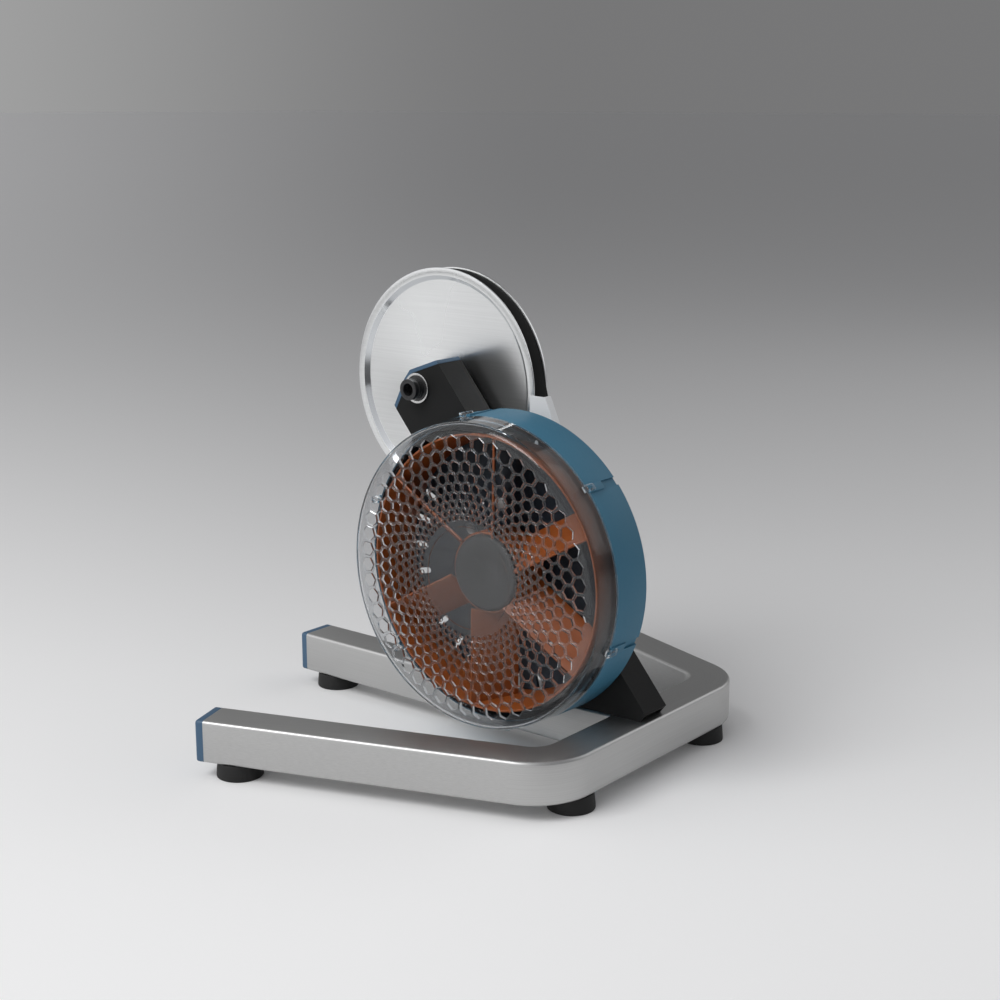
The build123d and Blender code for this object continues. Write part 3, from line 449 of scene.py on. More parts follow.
clear_tree.links.new(clear_mix.outputs["Shader"], clear_output.inputs["Surface"])
print("belt and clear plastic made")

# %% [markdown]
# ## The base
# One square tube is bent into a U: the crossbar lies on the floor behind, and a leg
# splays forward on each side.  It could be a curve with a bevel object, but a bend made
# that way pinches its inside.  Here a rounded square is pushed straight, spun round the
# bend and pushed on, as the tube was drawn and bent, and the left half is mirrored.

# %% The bent tube
tube_size = high("centre_leg").y - low("centre_leg").y
tube_corner = 3.0 * mm
bend_radius = 42.0 * mm
leg_splay = radians(19.6)
rear_outer_width = 300.0 * mm
leg_outer_length = 337.5 * mm
tube_middle = Vector((low("base_tube").x + tube_size / 2, 0, low("centre_leg").z + tube_size / 2))
leg_way = Vector((cos(leg_splay), sin(leg_splay), 0))
leg_side = Vector((-leg_way.y, leg_way.x, 0))
leg_end = Vector((low("base_tube").x, rear_outer_width / 2, tube_middle.z))
leg_end = leg_end + leg_outer_length * leg_way - tube_size / 2 * leg_side
bend_turn = pi / 2 - leg_splay
bend_setback = bend_radius * tan(bend_turn / 2)
bend_corner_y = leg_end.y - (leg_end.x - tube_middle.x) * tan(leg_splay)
bend_start_y = bend_corner_y - bend_setback
bend_end = Vector((tube_middle.x, bend_corner_y, tube_middle.z)) + bend_setback * leg_way
bend_centre = Vector((tube_middle.x + bend_radius, bend_start_y, tube_middle.z))


def rounded_face(places, corner, steps):
    """A shape with one flat face that has rounded corners, and that face."""
    shape = bmesh.new()
    corners = [shape.verts.new(place) for place in places]
    shape.faces.new(corners)
    rounded(shape, corners, corner, steps, "VERTICES")
    shape.faces.ensure_lookup_table()
    return shape, shape.faces[0]


def tube_section(middle, sideways, upwards):
    """The tube's rounded square and its face."""
    turns = ((-1, -1), (1, -1), (1, 1), (-1, 1))
    corners = [middle + tube_size / 2 * (a * sideways + b * upwards) for a, b in turns]
    return rounded_face(corners, tube_corner, 5)


def push(shape, face, move):
    """Extrude a face by a vector, drop it if it would be left inside, and give the new one."""
    has_sides = any(len(edge.link_faces) > 1 for edge in face.edges)
    pushed = bmesh.ops.extrude_face_region(shape, geom=[face])["geom"]
    verts = [item for item in pushed if isinstance(item, bmesh.types.BMVert)]
    bmesh.ops.translate(shape, verts=verts, vec=move)
    if has_sides:
        bmesh.ops.delete(shape, geom=[face], context="FACES_ONLY")
    return [item for item in pushed if isinstance(item, bmesh.types.BMFace)][0]


def spin_face(shape, face, centre, axis, angle, steps):
    """Spin a face about an axis and give back the last face."""
    spun = bmesh.ops.spin(shape, geom=[face] + list(face.edges) + list(face.verts), cent=centre,
                          axis=axis, angle=angle, steps=steps)["geom_last"]
    return [item for item in spun if isinstance(item, bmesh.types.BMFace)][0]


def tube_half():
    """The left half of the bent tube, from the middle of the crossbar."""
    shape, start = tube_section(tube_middle, along_x, along_z)
    end = push(shape, start, Vector((0, bend_start_y, 0)))
    end = spin_face(shape, end, bend_centre, along_z, -bend_turn, 32)
    push(shape, end, (leg_end - bend_end).length * leg_way)
    at_start = [face for face in shape.faces if all(abs(vert.co.y) < 1e-6 for vert in face.verts)]
    bmesh.ops.delete(shape, geom=at_start, context="FACES_ONLY")
    return shape


def along_and_across(point):
    """How far along the tube a point is, from the middle of the crossbar, and how far across."""
    y = abs(point.y)
    turn = atan2(y - bend_centre.y, bend_centre.x - point.x)
    if y < bend_start_y:
        return y, point.x
    if turn < bend_turn:
        return bend_start_y + bend_radius * turn, hypot(y - bend_centre.y, bend_centre.x - point.x)
    past_bend = Vector((point.x, y, 0)) - bend_end
    return bend_start_y + bend_radius * bend_turn + past_bend.dot(leg_way), past_bend.dot(leg_side)


def carry_grain(made, place):
    """Store the coordinate that the brush lines follow."""
    grain = made.data.attributes.new("along_tube", "FLOAT_VECTOR", "POINT")
    for index, vert in enumerate(made.data.vertices):
        grain.data[index].vector = (*place(vert.co), vert.co.z)


tube_shape = tube_half()
bmesh.ops.mirror(tube_shape, geom=list(tube_shape.verts) + list(tube_shape.edges) + list(tube_shape.faces),
                 matrix=Matrix.Identity(4), merge_dist=1e-6, axis="Y")
base_tube = piece("base_tube", outward(tube_shape), "frame", "brushed_tube", bent_tube_metal)
carry_grain(base_tube, along_and_across)

# %% The centre leg
leg_shape, leg_start = tube_section(Vector((low("centre_leg").x, 0, tube_middle.z)), along_y, along_z)
push(leg_shape, leg_start, (high("centre_leg").x - low("centre_leg").x) * along_x)
centre_leg = piece("centre_leg", outward(leg_shape), "frame", "brushed_tube", bent_tube_metal)
carry_grain(centre_leg, lambda point: (point.x, point.y))

# %% [markdown]
# Each leg ends in a blue moulded cap as large as the tube, with an outer edge rounded
# more than the tube's own.  It is the same rounded square, pushed out and bevelled.

# %% Leg caps
cap_thickness = high("centre_leg_cap").x - high("centre_leg").x
cap_edge = 2.2 * mm


def leg_cap(middle, way):
    """A cap that starts at the tube's end and points the way of the leg."""
    sideways = Vector((-way.y, way.x, 0))
    shape, start = tube_section(middle, sideways, along_z)
    end = push(shape, start, cap_thickness * way)
    rounded(shape, list(end.edges), cap_edge, 4)
    return outward(shape)


def mirrored(place):
    """The same place, or way, on the right side of the machine."""
    return Vector((place.x, -place.y, place.z))


cap_places = {"left_leg_cap": (leg_end, leg_way),
              "right_leg_cap": (mirrored(leg_end), mirrored(leg_way)),
              "centre_leg_cap": (Vector((high("centre_leg").x, 0, tube_middle.z)), along_x)}
for node, (middle, way) in cap_places.items():
    piece(node, leg_cap(middle, way), "frame", "blue_cap", cap_plastic)

# %% [markdown]
# The feet are turned rubber pads, a little wider at the floor, with a moulded lip round
# the bottom and a recess for the screw that holds each one.

# %% Rubber feet
foot_height = high("rubber_feet").z
foot_radius = 21.5 * mm
foot_top_radius = 20.3 * mm
foot_recess_radius = 7.5 * mm
foot_recess = 7.5 * mm
foot_slope_share = 0.86
foot_edge = 0.9 * mm
foot_hole_radius = 3.25 * mm
foot_from_end = 26.0 * mm
rear_foot_half_track = 105.5 * mm


def foot(middle):
    """One foot, standing on the floor."""
    slope_end = -foot_height * foot_slope_share
    outline = [(foot_hole_radius, 0), (foot_top_radius, 0), (foot_radius, slope_end),
               (foot_radius, -foot_height), (foot_recess_radius, -foot_height),
               (foot_recess_radius, foot_recess - foot_height), (foot_hole_radius, foot_recess - foot_height)]
    shape = turned(Vector((0, 0, 0)), outline, corner=foot_edge, steps=64)
    around(shape, (0, 0, 0), 90, "X")
    return outward(moved(shape, (middle.x, middle.y, foot_height)))


side_foot = leg_end - foot_from_end * leg_way
rear_foot = Vector((tube_middle.x, rear_foot_half_track, 0))
centre_foot = Vector((high("centre_leg").x - foot_from_end, 0, 0))
foot_places = [side_foot, mirrored(side_foot), rear_foot, mirrored(rear_foot), centre_foot]
piece("rubber_feet", joined([foot(place) for place in foot_places]), "frame", "black_rubber", foot_rubber)

# %% [markdown]
# ## The arm
# The arm is a black box beam that leans forward from the crossbar.  Its faces are flat
# plates, so the CAD copy with a narrow bevel has all the shape there is: the crisp
# folded edges show as thin light lines.

# %% Arm and its cap
arm_edge = 0.7 * mm
arm_cap_edge = 0.5 * mm
piece("arm", copied("arm", arm_edge), "frame", "black_arm", arm_paint, smooth_below=25)
piece("arm_top_cap", copied("arm_top_cap", arm_cap_edge), "frame", "blue_cap", cap_plastic, smooth_below=25)

# %% [markdown]
# ## The axle's left end
# A bright washer sits on the arm, and the black adapter stands out of it in steps with
# turned grooves.  A bicycle's dropout rests on its end, round the axle hole.

# %% Washer and adapters
axle_hole_radius = 6.1 * mm
counterbore_radius = 8.55 * mm
counterbore_depth = 6.0 * mm
adapter_radius = 10.2 * mm
flange_radius = 12.1 * mm
flange_thickness = 1.9 * mm
groove_depth = 0.7 * mm
groove_width = 1.2 * mm
groove_pitch = 2.6 * mm
adapter_edge = 0.25 * mm


def adapter(start, end):
    """An adapter from its flange's back face to its open end."""
    way = 1 if end > start else -1
    flange_end = start + way * flange_thickness
    outline = [(axle_hole_radius, end), (adapter_radius, end)]
    for index in (2, 1):
        middle = flange_end + way * index * groove_pitch
        for side in (1, -1):
            edge = middle + way * side * groove_width / 2
            depths = (0, groove_depth) if side == 1 else (groove_depth, 0)
            outline += [(adapter_radius - depth, edge) for depth in depths]
    outline += [(adapter_radius, flange_end), (flange_radius, flange_end), (flange_radius, start)]
    inner_end = end - way * counterbore_depth
    outline += [(counterbore_radius, start), (counterbore_radius, inner_end), (axle_hole_radius, inner_end)]
    return turned(axle, outline, corner=adapter_edge)


left_adapter = adapter(*depths("left_axle_adapter"))
right_adapter = adapter(*reversed(depths("right_axle_adapter")))
piece("left_axle_adapter", left_adapter, "frame", "black_anodised", adapter_black)
piece("right_axle_adapter", right_adapter, "frame", "black_anodised", adapter_black)

washer_radius = radius_of("axle_washer")
washer_width = 2.4 * mm
washer_edge = 0.5 * mm
washer_outline = ring_outline(washer_radius - washer_width, washer_radius, *depths("axle_washer"))
washer = turned(axle, washer_outline, corner=washer_edge)
piece("axle_washer", washer, "frame", "turned_steel", turned_metal)

# %% [markdown]
# ## The pulley
# Two brushed plates hold the belt between them.  The front one is turned as a shallow
# dish: a flat rim, a sloping step and a lower flat face.  The slope is left as the turning
# tool cut it, smoother than the brushed faces.  It mirrors other parts of the room than
# they do, and its colour is painted darker than the plates': a painted dark reflection,
# so it reads darker in places.

# %% Pulley plates
front_radius = radius_of("pulley_front_plate")
front_back, front_face = depths("pulley_front_plate")
hub_radius = 20.05 * mm
rim_width = 7.6 * mm
rim_thickness = 1.6 * mm
dish_depth = 4.2 * mm
dish_slope = 4.2 * mm
plate_edge = 0.35 * mm
plate_steps = 240
dish_radius = front_radius - rim_width
dish_face = front_face - dish_depth
rim_back = front_face - rim_thickness
front_outline = [(hub_radius, front_back), (dish_radius, front_back), (dish_radius, rim_back),
                 (front_radius, rim_back), (front_radius, front_face), (dish_radius, front_face),
                 (dish_radius - dish_slope, dish_face), (hub_radius, dish_face)]
front_shape = turned(axle, front_outline, corner=plate_edge, steps=plate_steps)
front_plate = piece("pulley_front_plate", front_shape, "pulley", "silver_plate", plate_metal, step_metal_painted_dark,
                    smooth_below=30)
# The sloping step takes the material with the painted dark reflection.
for polygon in front_plate.data.polygons:
    on_step = 0.3 < polygon.normal.y < 0.95
    polygon.material_index = 1 if on_step else 0
rear_outline = ring_outline(hub_radius, radius_of("pulley_rear_plate"), *depths("pulley_rear_plate"))
rear_shape = turned(axle, rear_outline, corner=plate_edge, steps=plate_steps)
piece("pulley_rear_plate", rear_shape, "pulley", "silver_plate", plate_metal, smooth_below=30)

# %% [markdown]
# ## The belt
# The belt runs round the large pulley and down to the small one on the fan's shaft.  Its
# flat section is spun round each pulley and pushed straight between them.  The last
# section lands on the first one, and the two end faces go before they are welded.

# %% Belt
belt_back, belt_front = depths("drive_belt")
belt_gap = 0.3 * mm
belt_thickness = 3.5 * mm
belt_corner = 0.5 * mm
speed_ratio = 5
drum_radius = radius_of("pulley_drum")
small_radius = drum_radius / speed_ratio
down_arm = Vector((fan.x - axle.x, 0, fan.z - axle.z))
belt_lean = asin((drum_radius - small_radius) / down_arm.length)
arm_turn = atan2(-down_arm.z, -down_arm.x)


def tangent(turn):
    """The way a belt leaves a pulley at an angle in the side view."""
    return Vector((sin(turn), 0, -cos(turn)))


large_wrap = pi + 2 * belt_lean
small_wrap = pi - 2 * belt_lean
straight = down_arm.length * cos(belt_lean)
belt_start = arm_turn + pi / 2 + belt_lean
belt_out = Vector((cos(belt_start), 0, sin(belt_start)))
belt_inner = drum_radius + belt_gap
belt_outer = belt_inner + belt_thickness
belt_corners = [Vector((axle.x, y, axle.z)) + distance * belt_out
                for distance, y in ((belt_inner, belt_back), (belt_inner, belt_front),
                                    (belt_outer, belt_front), (belt_outer, belt_back))]
belt_shape, belt_face = rounded_face(belt_corners, belt_corner, 2)
belt_face = spin_face(belt_shape, belt_face, axle, along_y, large_wrap, 96)
belt_face = push(belt_shape, belt_face, straight * tangent(belt_start - large_wrap))
belt_face = spin_face(belt_shape, belt_face, fan, along_y, small_wrap, 48)
push(belt_shape, belt_face, straight * tangent(belt_start))
end_faces = [face for face in belt_shape.faces if len(face.verts) > 4]
bmesh.ops.delete(belt_shape, geom=end_faces, context="FACES_ONLY")
bmesh.ops.remove_doubles(belt_shape, verts=list(belt_shape.verts), dist=2e-5)
print("belt straights", round(straight, 4), "m, end faces taken out where they meet:", len(end_faces))
piece("drive_belt", outward(belt_shape), "frame", "belt_rubber", belt_rubber)

# %% [markdown]
# ## The belt guard
# A folded sheet stands between the arm and the belt, and its flange closes the belt's
# rear side.  It is the CAD copy with a very narrow bevel, like a deburred sheet edge.

# %% Guard
guard_edge = 0.25 * mm
piece("belt_guard", copied("belt_guard", guard_edge), "frame", "pale_guard", guard_paint, smooth_below=25)

# %% [markdown]
# ## The fan's shell
# The blue shell is a shallow turned pan.  Six raised pads stand on its front half, each
# with a clip, and behind each pad is a groove.  The back has two fans of slots that let
# the air in beside the arm.  The pads and cuts are separate shapes, welded on or cut out.

# %% Shell
mount_back, shell_front = depths("fan_shroud")
mount_height = 2.6 * mm
shell_back = mount_back + mount_height
shell_radius = 144.9 * mm
shell_front_radius = 143.9 * mm
shell_wall = 3.0 * mm
shell_hole_radius = 18.0 * mm
mount_radius = 60.0 * mm
pad_count = 6
first_pad_angle = 40.3
pad_width = 8.0 * mm
pad_rise = 1.8 * mm
pad_length = 21.0 * mm
groove_cut = 2.2 * mm
slot_inner_radius = 107.0 * mm
slot_outer_radius = 124.0 * mm
slot_width = 6.0 * mm
slot_count = 11
slot_step = 13.0
pad_sink = 1.5 * mm
pad_edge = 0.4 * mm
shell_edge = 0.9 * mm
cutter_reach = 3.0 * mm


def backward_block(inner, outer, width, back, front, edge=0.0):
    """A block on the fan's backward side, between two radii and two depths."""
    return block((fan.x - outer, back, fan.z - width / 2), (fan.x - inner, front, fan.z + width / 2), edge)


def at_every_pad(make):
    """The same shape at each of the shell's pads, made on the backward side and turned there."""
    angles = [first_pad_angle + 360 * index / pad_count for index in range(pad_count)]
    return joined([around(make(), fan, angle) for angle in angles])


def slot_cutter(angle):
    """A long slot with round ends that points away from the fan's middle."""
    shape = bmesh.new()
    bmesh.ops.create_cone(shape, cap_ends=True, segments=24, radius1=slot_width / 2, radius2=slot_width / 2,
                          depth=3 * shell_wall, matrix=Matrix.Rotation(pi / 2, 4, "X"))
    length = slot_outer_radius - slot_inner_radius - slot_width
    for vert in shape.verts:
        vert.co.x += length / 2 if vert.co.x > -1e-6 else -length / 2
    centre = (slot_inner_radius + slot_outer_radius) / 2
    moved(shape, (fan.x + centre, shell_back + shell_wall / 2, fan.z))
    return around(shape, fan, -angle)


shell_outline = [(shell_hole_radius, mount_back), (mount_radius, mount_back), (mount_radius, shell_back),
                 (shell_radius, shell_back), (shell_front_radius, shell_front),
                 (shell_front_radius - shell_wall, shell_front),
                 (shell_radius - shell_wall, shell_back + shell_wall),
                 (shell_hole_radius, shell_back + shell_wall)]
shell_shape = turned(fan, shell_outline, corner=shell_edge, steps=288, corner_steps=3)
pads = at_every_pad(lambda: backward_block(shell_front_radius - pad_sink, shell_front_radius + pad_rise,
                                           pad_width, shell_front - pad_length, shell_front, pad_edge))
grooves = at_every_pad(lambda: backward_block(shell_radius - groove_cut, shell_radius + cutter_reach,
                                              pad_width, shell_back - mm, shell_front - pad_length))
arm_degrees = arm_turn * 180 / pi
slot_angles = [arm_degrees + side + (index - (slot_count - 1) / 2) * slot_step
               for side in (90, 270) for index in range(slot_count)]
slots = joined([slot_cutter(angle) for angle in slot_angles])
for tool, operation in ((grooves, "DIFFERENCE"), (slots, "DIFFERENCE"), (pads, "UNION")):
    shell_shape = combined(shell_shape, tool, operation)
shell = piece("fan_shroud", shell_shape, "frame", "blue_shell", shell_paint, shell_painted_shade, smooth_below=25)
inside_radius = shell_front_radius - shell_wall / 2
# The inner wall, the inner floor and the slot walls take the painted shade.
for polygon in shell.data.polygons:
    out = Vector((polygon.center.x - fan.x, 0, polygon.center.z - fan.z))
    faces_in = polygon.normal.dot(out.normalized()) < -0.5 and polygon.center.y > shell_back + 0.5 * mm
    on_floor = polygon.normal.y > 0.5 and polygon.center.y < shell_back + 2 * shell_wall
    in_slot = abs(polygon.normal.y) < 0.1 and slot_inner_radius - mm < out.length < slot_outer_radius + mm
    polygon.material_index = 1 if out.length < inside_radius and (faces_in or on_floor or in_slot) else 0

# %% [markdown]
# ## The clear cover
# The cover is a moulded bowl: a skirt, a rounded shoulder and a flat face with nine rings
# of hexagonal holes.  The holes shrink towards the middle in a constant ratio, and each
# ring is turned by half a hole, so they nest like a honeycomb.  Each hole is cut by a
# six-sided pin with a flared end, which leaves the bright chamfer that outlines it.

# %% Cover
cover_ring_height = 0.8 * mm
cover_lip, ring_top = depths("fan_cover")
cover_front = ring_top - cover_ring_height
cover_front_radius = 142.2 * mm
shoulder = 8.0 * mm
cover_wall = 2.2 * mm
face_thickness = 2.5 * mm
lip_gap = 0.3 * mm
hole_ring_radius = 124.0 * mm
hole_count = 51
hole_rings = 9
hole_shrink = 0.905
hole_web = 2.8 * mm
hole_chamfer = 0.35 * mm
centre_ring_radius = 47.5 * mm
centre_ring_width = 1.2 * mm
centre_ring_slope = 0.25 * mm

flat_radius = cover_front_radius - shoulder
lip_radius = shell_front_radius - shell_wall - lip_gap
ring_outer = centre_ring_radius + centre_ring_width / 2
ring_inner = centre_ring_radius - centre_ring_width / 2
cover_outline = arc_points(flat_radius, cover_front - shoulder, shoulder, 0, 90, 12)
cover_outline += [(ring_outer, cover_front), (ring_outer - centre_ring_slope, ring_top),
                  (ring_inner + centre_ring_slope, ring_top), (ring_inner, cover_front),
                  (0, cover_front), (0, cover_front - face_thickness)]
cover_outline += arc_points(flat_radius, cover_front - shoulder, shoulder - face_thickness, 90, 0, 10)
cover_outline += [(lip_radius - cover_wall, shell_front), (lip_radius - cover_wall, cover_lip),
                  (lip_radius, cover_lip), (lip_radius, shell_front), (shell_front_radius, shell_front)]
cover_shape = turned(fan, cover_outline, steps=240)


def hole_pin(radius, angle):
    """A six-sided pin with a flared end, one corner away from the fan's middle."""
    width = 2 * pi * radius / hole_count - hole_web
    corner = width / (2 * cos(pi / 6))
    shape = bmesh.new()
    depth = 3 * face_thickness
    top = cover_front - hole_chamfer
    stand = Matrix.Translation((fan.x - radius, top - depth / 2, fan.z)) @ Matrix.Rotation(-pi / 2, 4, "X")
    stand = stand @ Matrix.Rotation(pi / 2, 4, "Z")
    bmesh.ops.create_cone(shape, cap_ends=True, segments=6, radius1=corner, radius2=corner, depth=depth,
                          matrix=stand)
    end = max(shape.faces, key=lambda face: face.calc_center_median().y)
    flared = push(shape, end, Vector((0, 2 * hole_chamfer, 0)))
    grow = (corner + 2 * hole_chamfer / cos(pi / 6)) / corner
    bmesh.ops.scale(shape, verts=list(flared.verts), vec=(grow, 1, grow),
                    space=Matrix.Translation((-(fan.x - radius), 0, -fan.z)))
    return around(outward(shape), fan, angle)


pins = [hole_pin(hole_ring_radius * hole_shrink ** ring, (index + 0.5 * (ring % 2)) * 360 / hole_count)
        for ring in range(hole_rings) for index in range(hole_count)]
print("cover holes:", len(pins))
cover_shape = combined(cover_shape, joined(pins), "DIFFERENCE")
cover = piece("fan_cover", cover_shape, "frame", "clear_cover", clear_plastic, smooth_below=25)
for polygon in cover.data.polygons:
    polygon.use_smooth = abs(polygon.normal.y) < 0.999

# %% [markdown]
# Six small clear clips bridge the joint between cover and shell.  Each is a flat frame
# round an open window, with a tongue down to the cover.

# %% Clips
clip_length = 13.0 * mm
clip_width = 6.5 * mm
clip_rise = 2.4 * mm
clip_window = 3.2 * mm
clip_edge = 0.5 * mm
tongue_sink = 0.1 * mm
tongue_overlap = 0.6 * mm
tongue_inset = 0.3 * mm
clip_base = shell_front_radius + pad_rise


def clip():
    """One clip, on the backward side."""
    half = clip_length / 2
    plate = backward_block(clip_base, clip_base + clip_rise, clip_width,
                           shell_front - half, shell_front + half, clip_edge)
    window = backward_block(clip_base - mm, clip_base + clip_rise + mm, clip_window,
                            shell_front - half / 2, shell_front + half / 2)
    tongue = backward_block(shell_front_radius - tongue_sink, clip_base + tongue_overlap,
                            clip_width - 2 * tongue_inset,
                            shell_front + half / 2, shell_front + half - tongue_inset)
    return combined(combined(plate, window, "DIFFERENCE"), tongue, "UNION")


piece("cover_clips", at_every_pad(clip), "frame", "clear_cover", clear_plastic, smooth_below=25)

# %% [markdown]
# ## The impeller
# A grey hub carries six pitched orange blades, which end in an orange ring.  The blades
# are thin moulded plates: each starts as a grid on its own plane, gets its thickness,
# and has its edges rounded.

# %% Hub
fan_hub_radius = radius_of("fan_hub")
fan_hub_wall = 3.0 * mm
fan_boss_radius = 11.0 * mm
shaft_hole_radius = 6.05 * mm
hub_round = 4.0 * mm
hub_dish_radius = 15.0 * mm
hub_dish_depth = 0.8 * mm
hub_back, hub_front = depths("fan_hub")
hub_inner = fan_hub_radius - fan_hub_wall
hub_floor = hub_front - fan_hub_wall
hub_dish = hub_front - hub_dish_depth
hub_outline = [(0, hub_dish), (hub_dish_radius - mm, hub_dish), (hub_dish_radius, hub_front)]
hub_outline += arc_points(fan_hub_radius - hub_round, hub_front - hub_round, hub_round, 90, 0, 6)
hub_outline += [(fan_hub_radius, hub_back), (hub_inner, hub_back), (hub_inner, hub_floor),
                (fan_boss_radius, hub_floor), (fan_boss_radius, hub_back),
                (shaft_hole_radius, hub_back), (shaft_hole_radius, hub_floor), (0, hub_floor)]
piece("fan_hub", turned(fan, hub_outline, steps=144), "fan", "grey_hub", hub_plastic, smooth_below=40)

# %% Ring and blades
band_back, band_front = depths("impeller")
band_front_radius = radius_of("impeller")
band_back_radius = 122.0 * mm
band_wall = 2.0 * mm
collar_wall = 2.0 * mm
blade_count = 6
first_blade_angle = 29.0
blade_front = 73.0 * mm
blade_back = 37.0 * mm
blade_front_offset = 12.0 * mm
blade_back_offset = -16.0 * mm
blade_thickness = 2.2 * mm
blade_edge = 0.8 * mm
collar_play = 0.05 * mm
collar_radius = fan_hub_radius + collar_play
band_edge = 0.6 * mm
collar_edge = 0.5 * mm
share_into_band = 0.6
share_into_collar = 0.4


def blade(angle):
    """A pitched plate with rounded edges, from the collar to the ring."""
    shape = bmesh.new()
    bmesh.ops.create_grid(shape, x_segments=14, y_segments=6, size=0.5)
    for vert in shape.verts:
        share = vert.co.y + 0.5
        reach = vert.co.x + 0.5
        y = blade_back + share * (blade_front - blade_back)
        offset = blade_back_offset + share * (blade_front_offset - blade_back_offset)
        band_share = (y - band_back) / (band_front - band_back)
        band = band_back_radius + band_share * (band_front_radius - band_back_radius)
        collar = max(collar_radius + share_into_collar * collar_wall, abs(offset))
        inner = (collar ** 2 - offset ** 2) ** 0.5
        outer = ((band - share_into_band * band_wall) ** 2 - offset ** 2) ** 0.5
        vert.co = (fan.x - inner - reach * (outer - inner), y, fan.z - offset)
    bmesh.ops.solidify(outward(shape), geom=list(shape.faces), thickness=blade_thickness)
    shape.normal_update()
    soften(shape, blade_edge, 3, 60)
    run = Vector((0, blade_front - blade_back, blade_back_offset - blade_front_offset)).normalized()
    sideways = Vector((0, -run.z, run.y))
    middle = sum((vert.co.dot(sideways) for vert in shape.verts)) / len(shape.verts)
    plane = Vector((0, blade_back, fan.z - blade_back_offset)).dot(sideways)
    moved(shape, sideways * (plane - middle))
    return around(outward(shape), fan, angle)


band_outline = [(band_back_radius, band_back), (band_front_radius, band_front),
                (band_front_radius - band_wall, band_front), (band_back_radius - band_wall, band_back)]
collar_outline = ring_outline(collar_radius, collar_radius + collar_wall, hub_back, hub_front - hub_round)
blades = [blade(first_blade_angle + 360 * index / blade_count) for index in range(blade_count)]
impeller_shape = joined([turned(fan, band_outline, corner=band_edge, steps=240),
                         turned(fan, collar_outline, corner=collar_edge, steps=144)] + blades)
piece("impeller", impeller_shape, "fan", "orange_impeller", impeller_plastic, smooth_below=40)

# %% [markdown]
# ## Pieces that keep their CAD shape
# Hidden and machined pieces are already right in the CAD model: they get a finish only.

# %% Finishes for CAD nodes
sprockets = [node for node in frame["nodes"] if node.startswith("sprocket_")]
repaint(sprocket_metal, "cassette_spacers", "cassette_lockring", *sprockets)
repaint(turned_metal, "axle_sleeve", "fan_bearing_housing", "axle_spacer", "hub_axle", "fan_shaft")
repaint(plate_metal, "fan_pulley")
repaint(bearing_metal, "hub_bearings", "freehub_bearings", "fan_bearings")
repaint(zinc_metal, "foot_screws", "guard_screws", "shroud_screws", "pulley_screws", "fan_pulley_screw")
repaint(hardened_metal, "ratchet_ring", "ratchet_pawls")
repaint(adapter_black, "freehub_body", "pulley_drum")
print("CAD nodes that show:", sum(1 for node in frame["nodes"].values() if not node.hide_render))

# %% [markdown]
# ## Floor, light and camera
# The floor is one pale sheet that fades into the backdrop, like a photographer's paper
# sweep.  Its colour is painted light: brightest near the object and on the left, where the
# light falls, darker further off, and with painted shade to the right; it is also dark
# behind the camera.  The world is bright on the left of the camera and grey behind the
# object and on the right.  That is what makes the tube's sides pale and its top dark: a
# side mirrors the bright room, and the top mirrors the backdrop.  A second lamp behind the
# object draws the bright lines along its edges.

# %% Where the camera stands
camera_place = Vector((-1015.75, 1226.0, 601.0)) * mm
camera_heading = Vector((0.6252, -0.7804, 0.0)).normalized()
camera_right = Vector((camera_heading.y, -camera_heading.x, 0.0))
camera_pitch = radians(13.23)
side_fade = (-0.405, 0.05)
print("camera", [round(value, 3) for value in camera_place], "m")


def along_heading(tree, vector, heading):
    """How far a vector reaches along a heading."""
    node = tree.nodes.new("ShaderNodeVectorMath")
    node.operation = "DOT_PRODUCT"
    node.inputs[1].default_value = heading
    tree.links.new(vector, node.inputs[0])
    return node.outputs["Value"]


def smoothly(tree, factor, start, end):
    """Nought to one between two values of a factor, easing in and out."""
    return between(tree, factor, 0.0, 1.0, start, end, "SMOOTHSTEP")


def per_metre_ahead(tree, vector, heading):
    """How far a vector reaches along a heading for each metre that it reaches ahead."""
    node = tree.nodes.new("ShaderNodeMath")
    node.operation = "DIVIDE"
    for socket, way in zip(node.inputs, (heading, camera_heading)):
        tree.links.new(along_heading(tree, vector, way), socket)
    return node.outputs["Value"]


def to_the_right(tree, vector):
    """Nought on the left of the view and one from its middle to the right."""
    return smoothly(tree, per_metre_ahead(tree, vector, camera_right), *side_fade)


# %% Floor
# The floor's colours are painted light: bright near and on the left, darker further off, painted shade on the
# right.
floor_half = 70.0
floor_near = 0.95
floor_middle_left = 0.71
floor_middle_right_shade = (0.465, 0.465, 0.468)
floor_far_left = 0.82
floor_far_right_shade = (0.385, 0.385, 0.388)
floor_behind = 0.16
backdrop_left = 0.38
backdrop_right = (0.183, 0.183, 0.185)
middle_to_far = (0.16, 0.03)
near_to_away = (0.50, 0.10)
behind_to_seen = (0.3, 0.98)

floor_shape = bmesh.new()
bmesh.ops.create_grid(floor_shape, x_segments=1, y_segments=1, size=floor_half)
floor = placed("floor", floor_shape)
floor_paper, floor_tree, floor_shader, floor_place = new_finish("floor paper")
from_camera = floor_tree.nodes.new("ShaderNodeVectorMath")
from_camera.operation = "SUBTRACT"
from_camera.inputs[1].default_value = camera_place
floor_tree.links.new(floor_place, from_camera.inputs[0])
floor_way = from_camera.outputs["Vector"]
floor_shade_to_right = to_the_right(floor_tree, floor_way)
floor_ahead = along_heading(floor_tree, floor_way, camera_heading)
floor_slope = per_metre_ahead(floor_tree, floor_way, -along_z)
floor_far = blend_colour(floor_tree, floor_shade_to_right, floor_far_left, floor_far_right_shade)
floor_middle = blend_colour(floor_tree, floor_shade_to_right, floor_middle_left, floor_middle_right_shade)
is_far = smoothly(floor_tree, floor_slope, *middle_to_far)
is_away = smoothly(floor_tree, floor_slope, *near_to_away)
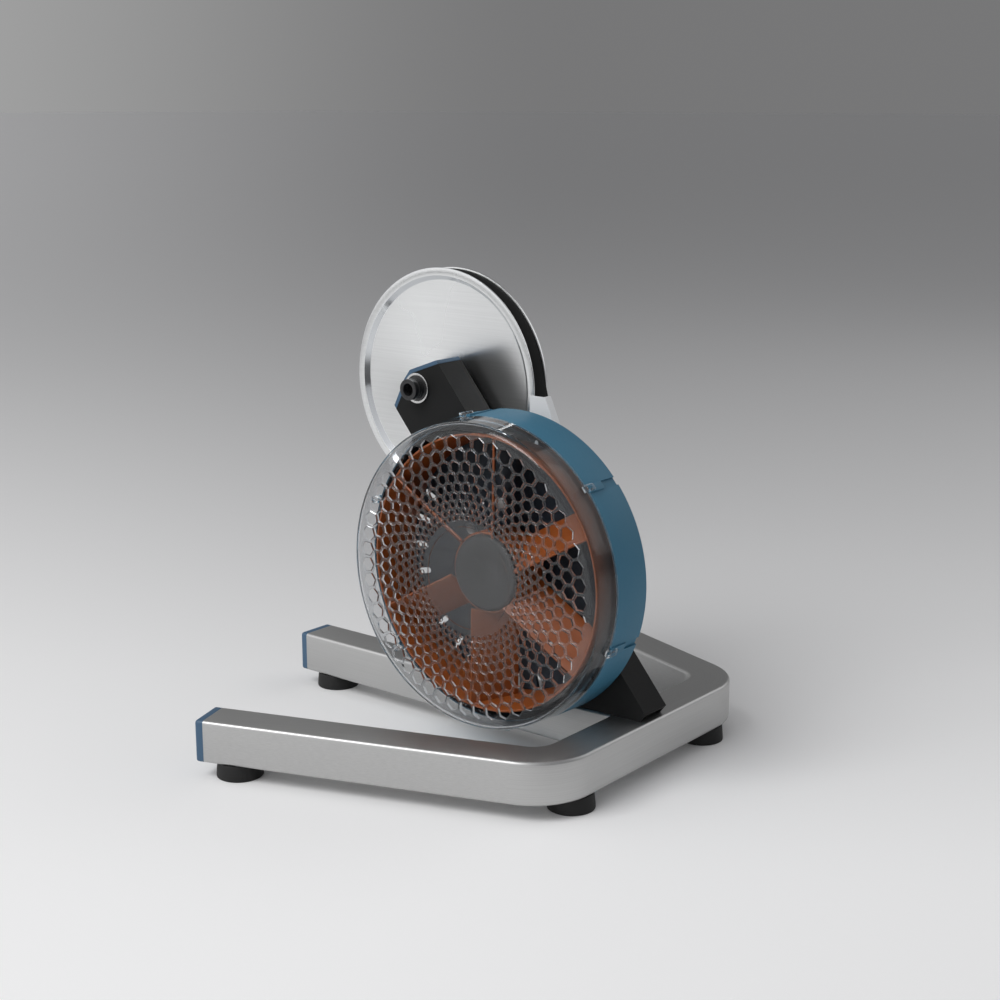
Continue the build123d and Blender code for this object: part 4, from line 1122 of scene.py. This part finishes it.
is_seen = smoothly(floor_tree, floor_ahead, *behind_to_seen)
floor_away = blend_colour(floor_tree, is_far, floor_middle, floor_far)
floor_seen = blend_colour(floor_tree, is_away, floor_near, floor_away)
floor_colour = blend_colour(floor_tree, is_seen, floor_behind, floor_seen)
floor_tree.links.new(floor_colour, floor_shader.inputs["Base Color"])
settle(floor_shader, roughness=0.85, specular_ior_level=0.2)
floor.data.materials.append(floor_paper)
print("floor", 2 * floor_half, "m across")

# %% World and lamps
bright_way = Vector((0.60, 0.79, 0.12)).normalized()
room_bright = (0.95, 0.95, 0.96)
room_dim = (0.24, 0.24, 0.25)
lit_fade = (-0.1, 0.8)
backdrop_fade = (0.0, 0.75)
world = bpy.data.worlds.new("studio")
bpy.context.scene.world = world
world.use_nodes = True
world_tree = world.node_tree
world_light = world_tree.nodes["Background"]
world_way = world_tree.nodes.new("ShaderNodeTexCoord").outputs["Generated"]
backdrop = blend_colour(world_tree, to_the_right(world_tree, world_way), backdrop_left, backdrop_right)
lit_side = smoothly(world_tree, along_heading(world_tree, world_way, bright_way), *lit_fade)
room = blend_colour(world_tree, lit_side, room_dim, room_bright)
ahead = smoothly(world_tree, along_heading(world_tree, world_way, camera_heading), *backdrop_fade)
world_colour = blend_colour(world_tree, ahead, room, backdrop)
world_tree.links.new(world_colour, world_light.inputs["Color"])


def aimed(name, data, place, way):
    """Stand a lamp or a camera at a place, looking one way."""
    made = in_scene(name, data)
    made.location = place
    made.rotation_euler = way.to_track_quat("-Z", "Y").to_euler()
    return made


def soft_lamp(name, place, target, size, power):
    """A square area lamp that points at a target."""
    lamp = bpy.data.lights.new(name, "AREA")
    lamp.shape = "SQUARE"
    lamp.size = size
    lamp.energy = power
    aimed(name, lamp, place, Vector(target) - Vector(place))


soft_lamp("key lamp", (0.6, 2.0, 2.4), target=(0, 0, 0.15), size=1.5, power=42)
soft_lamp("back lamp", (-1.2, -2.2, 1.7), target=(0, 0, 0.25), size=2.4, power=14)
print("lamps:", len(bpy.data.lights))

# %% Camera
camera_lens = bpy.data.cameras.new("camera")
camera_lens.sensor_width = 36.0
camera_lens.lens = 61.24
camera_way = cos(camera_pitch) * camera_heading - sin(camera_pitch) * along_z
bpy.context.scene.camera = aimed("camera", camera_lens, camera_place, camera_way)
bpy.context.scene.view_settings.view_transform = "Standard"
print("lens", round(camera_lens.lens, 2), "mm")
